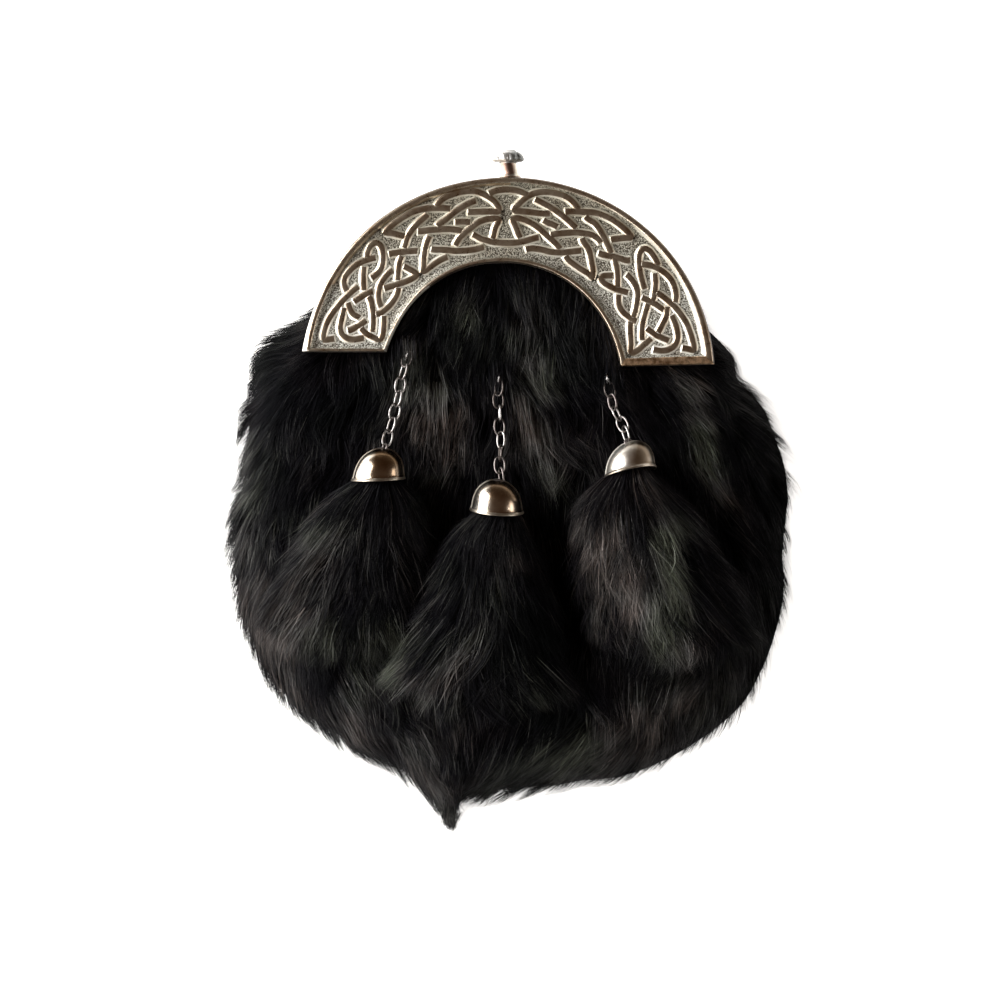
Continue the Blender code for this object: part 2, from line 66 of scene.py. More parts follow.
# ------------------------------------------------- sizes, as in the part
PLATE_TOP = 39.5
RIM_TOP = 41.0
SKIRT_FOOT = 26.0
CANTLE_FOOT = 33.1
ARCH_Y, ARCH_R = 37.4, 77.7
INNER_C, INNER_R = (-1.5, 40.5), 43.8
LEG_END_Y = {-1: 50.8, 1: 45.6}
KNOB_Z = 34.5
CHAIN_Z, DROP_Z = 42.0, 49.9
LINK_L, LINK_W, LINK_WIRE, LINK_TURN = 6.6, 4.4, 0.66, (-18, 60)
CAP_H, EYE_R, EYE_WIRE_R = 12.2, 1.5, 0.5
STAPLE_WIRE, STAPLE_HALF, STAPLE_FOOT = 1.2, 1.7, 4.4
FRONT_Z = 30.5
DROPS = {
    "left": dict(top=(-37.3, 48.8), links=7, mouth=(-47.5, 2.6), lean=-6, heading=-18),
    "middle": dict(top=(-3.5, 40.2), links=8, mouth=(-4.0, -9.2), lean=-1, heading=-1),
    "right": dict(top=(36.3, 40.3), links=5, mouth=(44.7, 6.4), lean=5, heading=12),
}
MIDDLE = np.array((0.0, -8.0))
FUR_TOP_R, POUCH_TOP_R = 73.5, 71.0
FUR_ROWS = (
    # y, left, right
    (64, -76.0, 68.5),
    (56, -88.0, 75.5),
    (47, -95.0, 84.0),
    (36, -98.5, 91.0),
    (22, -101.0, 98.0),
    (4, -101.5, 102.0),
    (-18, -103.5, 103.5),
    (-38, -102.0, 102.0),
    (-54, -98.0, 98.0),
    (-68, -91.5, 93.0),
    (-80, -82.5, 85.5),
    (-92, -68.0, 72.0),
    (-102, -51.5, 54.5),
    (-108, -39.0, 35.0),
    (-112.5, -33.5, 0.0),
    (-118, -29.5, -16.0),
    (-125.0, -22.5, -19.5),
)
POUCH_ROWS = (
    # y, half
    (62, 68.0),
    (47, 75.0),
    (28, 81.5),
    (6, 85.0),
    (-20, 86.0),
    (-44, 82.5),
    (-64, 72.5),
    (-79, 57.0),
    (-89, 36.0),
    (-94, 12.0),
)
FUR_RINGS = np.array(
    (
        # blend, scale, z
        (0.00, 0.00, 39.0),
        (0.00, 0.35, 39.0),
        (0.00, 0.60, 39.0),
        (0.00, 0.80, 38.6),
        (0.00, 0.93, 37.2),
        (0.12, 1.00, 34.5),
        (0.45, 1.00, 29.0),
        (0.75, 1.00, 21.5),
        (0.93, 1.00, 13.5),
        (1.00, 1.00, 7.0),
        (0.97, 1.00, 2.0),
    )
)


# ---------------------------------------------------------------- mesh making
def build(name, verts, quads=None, tris=None, mats=(), index=None, smooth=True):
    """A mesh object from arrays, in millimetres. index: each face's material,
    the quads' before the triangles'."""
    verts = np.asarray(verts, np.float64).reshape(-1, 3) * MM
    quads = np.zeros((0, 4), np.int64) if quads is None else np.asarray(quads, np.int64).reshape(-1, 4)
    tris = np.zeros((0, 3), np.int64) if tris is None else np.asarray(tris, np.int64).reshape(-1, 3)
    me = bpy.data.meshes.new(name)
    me.vertices.add(len(verts))
    me.vertices.foreach_set("co", verts.astype(np.float32).ravel())
    loops = np.concatenate((quads.ravel(), tris.ravel())).astype(np.int32)
    me.loops.add(len(loops))
    me.loops.foreach_set("vertex_index", loops)
    starts = np.concatenate((np.arange(len(quads)) * 4, len(quads) * 4 + np.arange(len(tris)) * 3))
    me.polygons.add(len(starts))
    me.polygons.foreach_set("loop_start", starts.astype(np.int32))
    me.polygons.foreach_set("use_smooth", np.full(len(starts), smooth, bool))
    for mat in mats:
        me.materials.append(mat)
    if index is not None:
        me.polygons.foreach_set("material_index", np.asarray(index, np.int32))
    me.update(calc_edges=True)
    me.validate()
    ob = bpy.data.objects.new(name, me)
    bpy.context.scene.collection.objects.link(ob)
    return ob


class Bag:
    """Collects surfaces into one mesh. paint is the faces' material: one
    number, or one for each column of a grid's faces, or rows x columns."""

    def __init__(self):
        self.verts, self.quads, self.tris, self.count = [], [], [], 0
        self.quad_paint, self.tri_paint = [], []

    def add(self, verts, quads=None, tris=None, paint=0):
        verts = np.asarray(verts, float).reshape(-1, 3)
        if quads is not None and len(quads):
            quads = np.asarray(quads, np.int64).reshape(-1, 4)
            self.quads.append(quads + self.count)
            self.quad_paint.append(np.broadcast_to(np.asarray(paint), (len(quads),)))
        if tris is not None and len(tris):
            tris = np.asarray(tris, np.int64).reshape(-1, 3)
            self.tris.append(tris + self.count)
            self.tri_paint.append(np.full(len(tris), np.asarray(paint).ravel()[0]))
        self.verts.append(verts)
        self.count += len(verts)

    def grid(self, points, close_u=False, close_v=False, cap=False, paint=0):
        """points: rows x columns x 3."""
        rows, cols = points.shape[:2]
        r = np.arange(rows if close_u else rows - 1)
        c = np.arange(cols if close_v else cols - 1)
        R, C = np.meshgrid(r, c, indexing="ij")
        R2, C2 = (R + 1) % rows, (C + 1) % cols
        quads = np.stack((R * cols + C, R * cols + C2, R2 * cols + C2, R2 * cols + C), -1).reshape(-1, 4)
        paint = np.broadcast_to(np.asarray(paint), R.shape).ravel()
        verts = points.reshape(-1, 3)
        tris = []
        if cap:
            ends = []
            for row in (0, rows - 1):
                mid = len(verts) + len(ends)
                ends.append(points[row].mean(0))
                k = np.arange(cols)
                fan = np.stack((np.full(cols, mid), row * cols + k, row * cols + (k + 1) % cols), -1)
                tris.append(fan if row else fan[:, ::-1])
            verts = np.concatenate((verts, ends))
            tris = np.concatenate(tris)
        self.add(verts, quads, tris if cap else None, paint)

    def made(self, name, *mats):
        none = [np.zeros(0, int)]
        return build(
            name,
            np.concatenate(self.verts),
            np.concatenate(self.quads) if self.quads else None,
            np.concatenate(self.tris) if self.tris else None,
            mats,
            np.concatenate((self.quad_paint or none) + (self.tri_paint or none)),
        )


def fix_normals(ob, merge=0.0):
    import bmesh

    bm = bmesh.new()
    bm.from_mesh(ob.data)
    if merge:
        bmesh.ops.remove_doubles(bm, verts=bm.verts, dist=merge * MM)
    bmesh.ops.recalc_face_normals(bm, faces=bm.faces)
    bm.to_mesh(ob.data)
    bm.free()
    return ob


def catmull(points, step):
    """Points read along a smooth curve through the given ones."""
    points = np.asarray(points, float)
    if len(points) == 2:
        n = max(2, int(np.linalg.norm(points[1] - points[0]) / step) + 1)
        return points[0] + (points[1] - points[0]) * np.linspace(0, 1, n)[:, None]
    ext = np.vstack((2 * points[0] - points[1], points, 2 * points[-1] - points[-2]))
    out = []
    for i in range(len(points) - 1):
        p0, p1, p2, p3 = ext[i : i + 4]
        n = max(2, int(np.linalg.norm(p2 - p1) / step))
        t = (np.arange(n) / n)[:, None]
        out.append(
            0.5
            * (2 * p1 + (p2 - p0) * t + (2 * p0 - 5 * p1 + 4 * p2 - p3) * t**2 + (3 * p1 - p0 - 3 * p2 + p3) * t**3)
        )
    return np.vstack(out + [points[-1:]])


def tube(path, radius, sides, closed=False, ref=(0, 0, 1)):
    """A round tube's rows of points along a path."""
    path = np.asarray(path, float)
    if closed:
        t = np.roll(path, -1, 0) - np.roll(path, 1, 0)
    else:
        t = np.gradient(path, axis=0)
    t /= np.linalg.norm(t, axis=1, keepdims=True)
    a = np.cross(t, np.asarray(ref, float))
    bad = np.linalg.norm(a, axis=1) < 1e-3
    a[bad] = np.cross(t[bad], (0.3, 0.9, 0.2))
    a /= np.linalg.norm(a, axis=1, keepdims=True)
    b = np.cross(a, t)
    k = TAU * np.arange(sides) / sides
    r = np.broadcast_to(np.asarray(radius, float).reshape(-1, 1, 1), (len(path), 1, 1))
    return path[:, None] + r * (a[:, None] * np.cos(k)[None, :, None] + b[:, None] * np.sin(k)[None, :, None])


# ------------------------------------------------------------------ materials
def shader_of(name):
    mat = bpy.data.materials.new(name)
    mat.use_nodes = True
    nodes, links = mat.node_tree.nodes, mat.node_tree.links
    return mat, nodes, links, nodes["Principled BSDF"]


def node(nodes, kind, **values):
    made = nodes.new(kind)
    for key, value in values.items():
        if key in made.inputs:
            made.inputs[key].default_value = value
        else:
            setattr(made, key, value)
    return made


def ramp(nodes, stops, interpolation="LINEAR"):
    made = nodes.new("ShaderNodeValToRGB")
    made.color_ramp.interpolation = interpolation
    line = made.color_ramp.elements
    while len(line) < len(stops):
        line.new(0.5)
    for element, (at, colour) in zip(line, stops):
        element.position = at
        element.color = (*colour, 1) if len(colour) == 3 else colour
    return made


def noise(nodes, links, where, scale, detail=4.0, rough=0.55):
    made = nodes.new("ShaderNodeTexNoise")
    made.inputs["Scale"].default_value = scale
    made.inputs["Detail"].default_value = detail
    made.inputs["Roughness"].default_value = rough
    links.new(where.outputs["Object"], made.inputs["Vector"])
    return made


def spread(nodes, links, source, low, high):
    made = nodes.new("ShaderNodeMapRange")
    made.inputs["To Min"].default_value = low
    made.inputs["To Max"].default_value = high
    links.new(source, made.inputs["Value"])
    return made


def painted_shade_along(nodes, links, where, colour, axis, low, high, dark):
    """Painted shade: a colour that darkens from one place along an axis of the piece to another."""
    parts = nodes.new("ShaderNodeSeparateXYZ")
    links.new(where.outputs["Object"], parts.inputs["Vector"])
    level = nodes.new("ShaderNodeMapRange")
    level.inputs["From Min"].default_value = low
    level.inputs["From Max"].default_value = high
    links.new(parts.outputs[axis], level.inputs["Value"])
    tone = ramp(nodes, ((0.0, (1, 1, 1)), (1.0, dark)))
    links.new(level.outputs["Result"], tone.inputs["Fac"])
    mixed = nodes.new("ShaderNodeMix")
    mixed.data_type = "RGBA"
    mixed.blend_type = "MULTIPLY"
    mixed.inputs["Factor"].default_value = 1.0
    links.new(colour, mixed.inputs["A"])
    links.new(tone.outputs["Color"], mixed.inputs["B"])
    return mixed.outputs["Result"]


def cast_metal(name, bright, brown, rough, stain_scale=90.0, bump=0.12, fine=2600.0, metallic=1.0, top=None, right=None, span=(0.34, 0.72), crown=None):
    """Old cast or plated metal: uneven gloss, brown stains, fine pits. Its crown, top and right colours are painted
    shade: darker where it faces up, towards the top, towards the right.
    """
    mat, nodes, links, shader = shader_of(name)
    where = nodes.new("ShaderNodeTexCoord")
    stain = noise(nodes, links, where, stain_scale, 6, 0.62)
    colours = ramp(nodes, ((span[0], bright), (span[1], brown)))
    links.new(stain.outputs["Fac"], colours.inputs["Fac"])
    colour = colours.outputs["Color"]
    if crown:
        # painted shade: darker where it faces up
        facing = nodes.new("ShaderNodeNewGeometry")
        parts = nodes.new("ShaderNodeSeparateXYZ")
        links.new(facing.outputs["Normal"], parts.inputs["Vector"])
        tone = ramp(nodes, ((0.55, (1, 1, 1)), (0.88, crown)))
        links.new(parts.outputs["Z"], tone.inputs["Fac"])
        mixed = nodes.new("ShaderNodeMix")
        mixed.data_type = "RGBA"
        mixed.blend_type = "MULTIPLY"
        mixed.inputs["Factor"].default_value = 1.0
        links.new(colour, mixed.inputs["A"])
        links.new(tone.outputs["Color"], mixed.inputs["B"])
        colour = mixed.outputs["Result"]
    # painted shade: darker towards the top
    if top:
        colour = painted_shade_along(nodes, links, where, colour, "Y", 0.060, 0.098, top)
    # painted shade: darker towards the right
    if right:
        colour = painted_shade_along(nodes, links, where, colour, "X", -0.0015, 0.0020, right)
    links.new(colour, shader.inputs["Base Color"])
    shader.inputs["Metallic"].default_value = metallic
    gloss = noise(nodes, links, where, stain_scale * 3.1, 4)
    level = spread(nodes, links, gloss.outputs["Fac"], *rough)
    links.new(level.outputs["Result"], shader.inputs["Roughness"])
    pits = noise(nodes, links, where, fine, 3)
    raised = nodes.new("ShaderNodeBump")
    raised.inputs["Strength"].default_value = bump
    raised.inputs["Distance"].default_value = 0.00008
    links.new(pits.outputs["Fac"], raised.inputs["Height"])
    links.new(raised.outputs["Normal"], shader.inputs["Normal"])
    return mat


def cap_metal(name, bright, brown, rough, tone=(1.0, 1.0, 1.0), reach=(-0.44, -0.20)):
    """Polished metal with painted reflection in its colour: painted shade on the
    dome's far side and its steep flanks, but for a lighter painted line at the very edge."""
    mat, nodes, links, shader = shader_of(name)
    where = nodes.new("ShaderNodeTexCoord")
    stain = noise(nodes, links, where, 260, 6, 0.62)
    colours = ramp(nodes, ((0.36, bright), (0.70, brown)))
    links.new(stain.outputs["Fac"], colours.inputs["Fac"])
    facing = nodes.new("ShaderNodeNewGeometry")
    parts = nodes.new("ShaderNodeSeparateXYZ")
    links.new(facing.outputs["Normal"], parts.inputs["Vector"])
    # painted reflection by how much the dome faces up: a light line at its outline, dark flanks, brown towards the
    # crown
    flank = ramp(
        nodes,
        (
            (0.0, (0.42, 0.40, 0.37)),
            (0.10, (0.34, 0.31, 0.27)),
            (0.19, tuple(c * t for c, t in zip((0.10, 0.075, 0.05), tone))),
            (0.44, tuple(c * t for c, t in zip((0.10, 0.072, 0.046), tone))),
            (0.74, tuple(c * t for c, t in zip((0.22, 0.155, 0.10), tone))),
            (1.0, tuple(c * t for c, t in zip((0.46, 0.325, 0.21), tone))),
        ),
    )
    links.new(parts.outputs["Z"], flank.inputs["Fac"])
    # the painted shade lies on all but the side that faces left
    side = nodes.new("ShaderNodeMapRange")
    side.inputs["From Min"].default_value, side.inputs["From Max"].default_value = reach
    links.new(parts.outputs["X"], side.inputs["Value"])
    mixed = nodes.new("ShaderNodeMix")
    mixed.data_type = "RGBA"
    mixed.blend_type = "MULTIPLY"
    # painted highlight: less painted shade near the rim
    low = nodes.new("ShaderNodeMapRange")
    low.inputs["From Min"].default_value, low.inputs["From Max"].default_value = -0.02, 0.32
    low.inputs["To Min"].default_value, low.inputs["To Max"].default_value = 0.66, 1.0
    links.new(parts.outputs["Y"], low.inputs["Value"])
    painted_shade_amount = nodes.new("ShaderNodeMath")
    painted_shade_amount.operation = "MULTIPLY"
    links.new(side.outputs["Result"], painted_shade_amount.inputs[0])
    links.new(low.outputs["Result"], painted_shade_amount.inputs[1])
    links.new(painted_shade_amount.outputs["Value"], mixed.inputs["Factor"])
    links.new(colours.outputs["Color"], mixed.inputs["A"])
    links.new(flank.outputs["Color"], mixed.inputs["B"])
    links.new(mixed.outputs["Result"], shader.inputs["Base Color"])
    shader.inputs["Metallic"].default_value = 1.0
    gloss = noise(nodes, links, where, 700, 4)
    level = spread(nodes, links, gloss.outputs["Fac"], *rough)
    # the steep flanks are dull
    dull = ramp(nodes, ((0.0, (0.70, 0.70, 0.70)), (0.20, (0.56, 0.56, 0.56)), (0.42, (0, 0, 0))))
    links.new(parts.outputs["Z"], dull.inputs["Fac"])
    duller = nodes.new("ShaderNodeMath")
    duller.operation = "MAXIMUM"
    links.new(level.outputs["Result"], duller.inputs[0])
    links.new(dull.outputs["Color"], duller.inputs[1])
    links.new(duller.outputs["Value"], shader.inputs["Roughness"])
    dents = noise(nodes, links, where, 900, 3)
    raised = nodes.new("ShaderNodeBump")
    raised.inputs["Strength"].default_value = 0.12
    raised.inputs["Distance"].default_value = 0.0001
    links.new(dents.outputs["Fac"], raised.inputs["Height"])
    links.new(raised.outputs["Normal"], shader.inputs["Normal"])
    return mat


def leather(name, colour, scale, strength, gloss=0.5):
    mat, nodes, links, shader = shader_of(name)
    where = nodes.new("ShaderNodeTexCoord")
    cells = nodes.new("ShaderNodeTexVoronoi")
    cells.feature = "DISTANCE_TO_EDGE"
    cells.inputs["Scale"].default_value = scale
    links.new(where.outputs["Object"], cells.inputs["Vector"])
    crease = noise(nodes, links, where, scale * 0.4, 6)
    added = nodes.new("ShaderNodeMath")
    added.operation = "ADD"
    links.new(cells.outputs["Distance"], added.inputs[0])
    links.new(crease.outputs["Fac"], added.inputs[1])
    raised = nodes.new("ShaderNodeBump")
    raised.inputs["Strength"].default_value = strength
    raised.inputs["Distance"].default_value = 0.00025
    links.new(added.outputs["Value"], raised.inputs["Height"])
    links.new(raised.outputs["Normal"], shader.inputs["Normal"])
    wear = noise(nodes, links, where, 45, 5)
    light = tuple(c * 2.2 + 0.004 for c in colour)
    colours = ramp(nodes, ((0.38, colour), (0.75, light)))
    links.new(wear.outputs["Fac"], colours.inputs["Fac"])
    links.new(colours.outputs["Color"], shader.inputs["Base Color"])
    level = spread(nodes, links, wear.outputs["Fac"], 0.36, 0.62)
    links.new(level.outputs["Result"], shader.inputs["Roughness"])
    shader.inputs["Specular IOR Level"].default_value = gloss
    return mat


def hair(name, dark, light, rough, gloss):
    """Black hair: each strand a little browner or greyer than the next."""
    mat, nodes, links, shader = shader_of(name)
    strand = nodes.new("ShaderNodeNewGeometry")
    where = nodes.new("ShaderNodeTexCoord")
    patch = noise(nodes, links, where, 55, 3)
    mixed = nodes.new("ShaderNodeMath")
    mixed.operation = "MULTIPLY"
    links.new(strand.outputs["Random Per Island"], mixed.inputs[0])
    links.new(patch.outputs["Fac"], mixed.inputs[1])
    colours = ramp(nodes, ((0.04, dark), (0.52, light)))
    links.new(mixed.outputs["Value"], colours.inputs["Fac"])
    # brownish here, greenish there
    drift = noise(nodes, links, where, 30, 2)
    tints = ramp(nodes, ((0.36, (1.20, 0.95, 0.92)), (0.50, (1.0, 0.99, 1.04)), (0.64, (0.90, 1.05, 0.84))))
    links.new(drift.outputs["Fac"], tints.inputs["Fac"])
    tinted = nodes.new("ShaderNodeMix")
    tinted.data_type = "RGBA"
    tinted.blend_type = "MULTIPLY"
    tinted.inputs["Factor"].default_value = 1.0
    links.new(colours.outputs["Color"], tinted.inputs["A"])
    links.new(tints.outputs["Color"], tinted.inputs["B"])
    links.new(tinted.outputs["Result"], shader.inputs["Base Color"])
    level = spread(nodes, links, strand.outputs["Random Per Island"], *rough)
    links.new(level.outputs["Result"], shader.inputs["Roughness"])
    shader.inputs["Specular IOR Level"].default_value = gloss
    return mat


def stippled_metal(name, bright, dark, rough):
    """A cast ground, punched all over with fine dots."""
    mat, nodes, links, shader = shader_of(name)
    where = nodes.new("ShaderNodeTexCoord")
    dots = nodes.new("ShaderNodeTexVoronoi")
    dots.feature = "F1"
    dots.inputs["Scale"].default_value = 1900
    links.new(where.outputs["Object"], dots.inputs["Vector"])
    colours = ramp(nodes, ((0.30, bright), (0.64, dark)))
    links.new(dots.outputs["Distance"], colours.inputs["Fac"])
    stain = noise(nodes, links, where, 120, 5)
    tint = nodes.new("ShaderNodeMix")
    tint.data_type = "RGBA"
    tint.blend_type = "MULTIPLY"
    tint.inputs["Factor"].default_value = 0.55
    brown = ramp(nodes, ((0.40, (1, 1, 1)), (0.75, (0.55, 0.44, 0.33))))
    links.new(stain.outputs["Fac"], brown.inputs["Fac"])
    links.new(colours.outputs["Color"], tint.inputs["A"])
    links.new(brown.outputs["Color"], tint.inputs["B"])
    # painted shade: the ground darker towards the top
    colour = painted_shade_along(nodes, links, where, tint.outputs["Result"], "Y", 0.060, 0.098, (0.54, 0.51, 0.45))
    links.new(colour, shader.inputs["Base Color"])
    shader.inputs["Metallic"].default_value = 0.50
    level = spread(nodes, links, stain.outputs["Fac"], *rough)
    links.new(level.outputs["Result"], shader.inputs["Roughness"])
    raised = nodes.new("ShaderNodeBump")
    raised.inputs["Strength"].default_value = 0.55
    raised.inputs["Distance"].default_value = 0.00022
    raised.invert = True
    links.new(dots.outputs["Distance"], raised.inputs["Height"])
    links.new(raised.outputs["Normal"], shader.inputs["Normal"])
    return mat


SILVER = cast_metal("cast silver", (0.64, 0.56, 0.45), (0.34, 0.235, 0.15), (0.20, 0.40), 190.0, 0.35)
SILVER_WALL = cast_metal("cast silver wall", (0.52, 0.46, 0.38), (0.36, 0.29, 0.22), (0.26, 0.44), 420.0, 0.5, 1400.0)
# painted highlight: a lighter, less metallic copy of the silver for the strands' sides, the right rim's slope and the
# left foot's bevels, with painted shade towards the top
SILVER_PAINTED_HIGHLIGHT = cast_metal(
    "cast silver painted highlight", (0.92, 0.92, 0.87), (0.56, 0.52, 0.44), (0.28, 0.46), 160.0, 0.35, metallic=0.38, top=(0.62, 0.60, 0.54)
)
# painted shade: a dark copy of the silver for the outer bevel
SILVER_PAINTED_SHADE = cast_metal("cast silver painted shade", (0.13, 0.105, 0.085), (0.06, 0.045, 0.035), (0.30, 0.50), 300.0, 0.4)
SILVER_FOOT = cast_metal("cast silver foot face", (0.96, 0.70, 0.46), (0.30, 0.18, 0.10), (0.24, 0.44), 420.0, 0.4, span=(0.40, 0.60))
SILVER_GROUND = stippled_metal("cast silver ground", (0.84, 0.85, 0.79), (0.105, 0.092, 0.072), (0.36, 0.54))
# each cap's painted reflection: tone tints its painted shade, and the right cap's reach moves where that shade starts
CHROME = {
    "left": cap_metal("cap chrome left", (0.74, 0.68, 0.60), (0.52, 0.42, 0.32), (0.16, 0.24)),
    "middle": cap_metal("cap chrome middle", (0.74, 0.69, 0.62), (0.56, 0.48, 0.40), (0.18, 0.27), (1.15, 1.22, 1.36)),
    "right": cap_metal("cap chrome right", (0.90, 0.87, 0.82), (0.66, 0.60, 0.52), (0.25, 0.35), (1.05, 1.20, 1.45), (-0.30, 0.20)),
}
CAP_LIP = cast_metal("cap lip", (0.46, 0.42, 0.36), (0.20, 0.155, 0.115), (0.26, 0.40), 320.0, 0.1, 900.0)
# painted shade: the head darker on its right
KNOB = cast_metal("knob silver", (0.80, 0.80, 0.79), (0.52, 0.50, 0.48), (0.28, 0.46), 260.0, 0.15, 1500.0, metallic=0.85, right=(0.20, 0.21, 0.21))
# painted shade: the stem darker where it faces up
KNOB_STEM = cast_metal("knob stem", (0.62, 0.58, 0.50), (0.36, 0.31, 0.26), (0.30, 0.50), 220.0, 0.10, 1500.0, crown=(0.30, 0.21, 0.19))
STEEL = cast_metal("chain steel", (0.52, 0.51, 0.51), (0.14, 0.12, 0.11), (0.18, 0.40), 420.0, 0.1, 1800.0)
# darker copies of the steel: painted shade on the dimmer links and on the links' ends
STEEL_MID = cast_metal("chain steel darker", (0.25, 0.225, 0.22), (0.09, 0.075, 0.07), (0.22, 0.44), 420.0, 0.1, 1800.0)
STEEL_PAINTED_SHADE = cast_metal("chain steel painted shade", (0.13, 0.115, 0.11), (0.05, 0.04, 0.035), (0.24, 0.46), 420.0, 0.1, 1800.0)
# five copies of one black hair, from painted shade to painted sheen; each hair takes one by its step of painted sheen
HAIRS = (
    hair("fur deep painted shade", (0.0010, 0.0010, 0.0016), (0.0028, 0.0027, 0.0037), (0.55, 0.70), 0.02),
    hair("fur dark", (0.0018, 0.0018, 0.0024), (0.0064, 0.0062, 0.0074), (0.48, 0.62), 0.06),
    hair("fur half painted sheen", (0.0050, 0.0048, 0.0045), (0.0260, 0.0246, 0.0220), (0.46, 0.60), 0.15),
    hair("fur sheen", (0.0130, 0.0125, 0.0114), (0.0660, 0.0630, 0.0565), (0.44, 0.58), 0.26),
    hair("fur bright", (0.0240, 0.0232, 0.0214), (0.1200, 0.1150, 0.1040), (0.42, 0.56), 0.30),
)
# the hide near black: painted shade in the gaps between the locks and inside the tassels
SKIN = leather("fur hide", (0.0012, 0.0011, 0.0012), 900.0, 0.6, gloss=0.0)
POUCH_LEATHER = leather("pouch leather", (0.018, 0.016, 0.015), 700.0, 0.35)
BACK_LEATHER = leather("back leather", (0.028, 0.024, 0.022), 520.0, 0.5)


# --------------------------------------------------------------------- cantle
# The casting isn't quite round. How far its edges lie from the two circles.
OUTER_EASE = np.array(
    (
        # degrees, mm
        (6, -1.55),
        (16, -1.0),
        (28, -0.55),
        (40, -0.2),
        (58, -0.2),
        (76, -0.4),
        (98, -0.4),
        (112, 0.0),
        (130, 0.42),
        (141, 0.2),
        (150, -0.3),
        (170, -0.7),
    )
)
INNER_EASE = np.array(
    (
        # degrees, mm
        (6, -0.9),
        (14, -1.2),
        (36, -1.25),
        (60, -1.05),
        (90, -0.9),
        (100, -0.7),
        (112, -0.35),
        (140, 0.05),
        (156, 0.2),
        (168, 0.8),
    )
)
# where each foot's line meets the outer and the inner edge
FEET_Y = {"left": (50.65, 50.5), "right": (45.95, 45.15)}


def eased(table, a):
    degrees = np.degrees(a)
    return (
        np.interp(degrees - 4, table[:, 0], table[:, 1])
        + np.interp(degrees, table[:, 0], table[:, 1])
        + np.interp(degrees + 4, table[:, 0], table[:, 1])
    ) / 3


# The rims: how wide their outer bevel, flat top and inner slope are.
RIM_OUTER = np.array(
    (
        # degrees, bevel, flat, slope
        (6, 0.45, 2.6, 1.35),
        (18, 0.45, 2.2, 1.3),
        (30, 0.40, 1.9, 1.05),
        (45, 0.35, 1.8, 0.85),
        (60, 0.35, 1.75, 0.8),
        (90, 0.35, 1.6, 0.9),
        (120, 0.35, 1.7, 0.8),
        (150, 0.40, 1.9, 0.9),
        (160, 0.70, 1.8, 0.9),
        (170, 1.35, 1.5, 0.9),
    )
)
RIM_INNER = np.array(
    (
        # degrees, bevel, flat, slope
        (6, 0.30, 2.1, 0.9),
        (30, 0.30, 1.4, 0.8),
        (60, 0.30, 1.3, 0.8),
        (90, 0.30, 1.2, 0.8),
        (120, 0.30, 1.1, 0.8),
        (140, 0.35, 0.7, 0.8),
        (156, 0.60, 0.3, 0.8),
        (168, 0.90, 0.15, 0.8),
    )
)
RIM_FOOT = {"left": (0.2, 0.85, 0.8), "right": (0.2, 2.6, 0.8)}


def arch(bevel, flat, slope, more, around, across):
    """The arch's edge, drawn in by so much of each rim's parts and by more: x, y
    of the outer arc from right to left, the left foot, the inner arc back, and
    the right foot."""

    def inset(table, a):
        degrees = np.degrees(a)
        widths = [np.interp(degrees, table[:, 0], table[:, k]) for k in (1, 2, 3)]
        return bevel * widths[0] + flat * widths[1] + slope * widths[2] + more

    def ends(radius, table, rim, middle_y, column, sign):
        found = []
        for side in ("right", "left"):
            parts = RIM_FOOT[side]
            low = FEET_Y[side][column] + bevel * parts[0] + flat * parts[1] + slope * parts[2] + more
            a = 0.2 if side == "right" else math.pi - 0.2
            for _ in range(8):
                r = radius + eased(table, a) + sign * inset(rim, a)
                a = math.asin((low - middle_y) / r)
                a = a if side == "right" else math.pi - a
            found.append(a)
        return found

    a = np.linspace(*ends(ARCH_R, OUTER_EASE, RIM_OUTER, ARCH_Y, 0, -1), around)
    b = np.linspace(*ends(INNER_R, INNER_EASE, RIM_INNER, INNER_C[1], 1, 1), around)[::-1]
    out_r = ARCH_R + eased(OUTER_EASE, a) - inset(RIM_OUTER, a)
    in_r = INNER_R + eased(INNER_EASE, b) + inset(RIM_INNER, b)
    outer = np.stack((out_r * np.cos(a), ARCH_Y + out_r * np.sin(a)), -1)
    inner = np.stack((INNER_C[0] + in_r * np.cos(b), INNER_C[1] + in_r * np.sin(b)), -1)
    t = np.linspace(0, 1, across)[1:-1, None]
    left = outer[-1] + (inner[0] - outer[-1]) * t
    right = inner[-1] + (outer[0] - inner[-1]) * t
    return np.vstack((outer, left, inner, right))


# The chart of the interlace. Along: from the left foot, 200, over the top, 1195,
# to the right foot, 2210. In: from the outer edge, 22, to the inner one, 500.
CHART_C, CHART_R = (-0.18, 39.56), 78.02


def from_chart(rows):
    rows = np.asarray(rows, float)
    a = math.pi + 0.12 - rows[:, 0] * 0.0014096
    r = CHART_R - rows[:, 1] * 0.06715
    return np.stack((CHART_C[0] + r * np.cos(a), CHART_C[1] + r * np.sin(a)), -1)


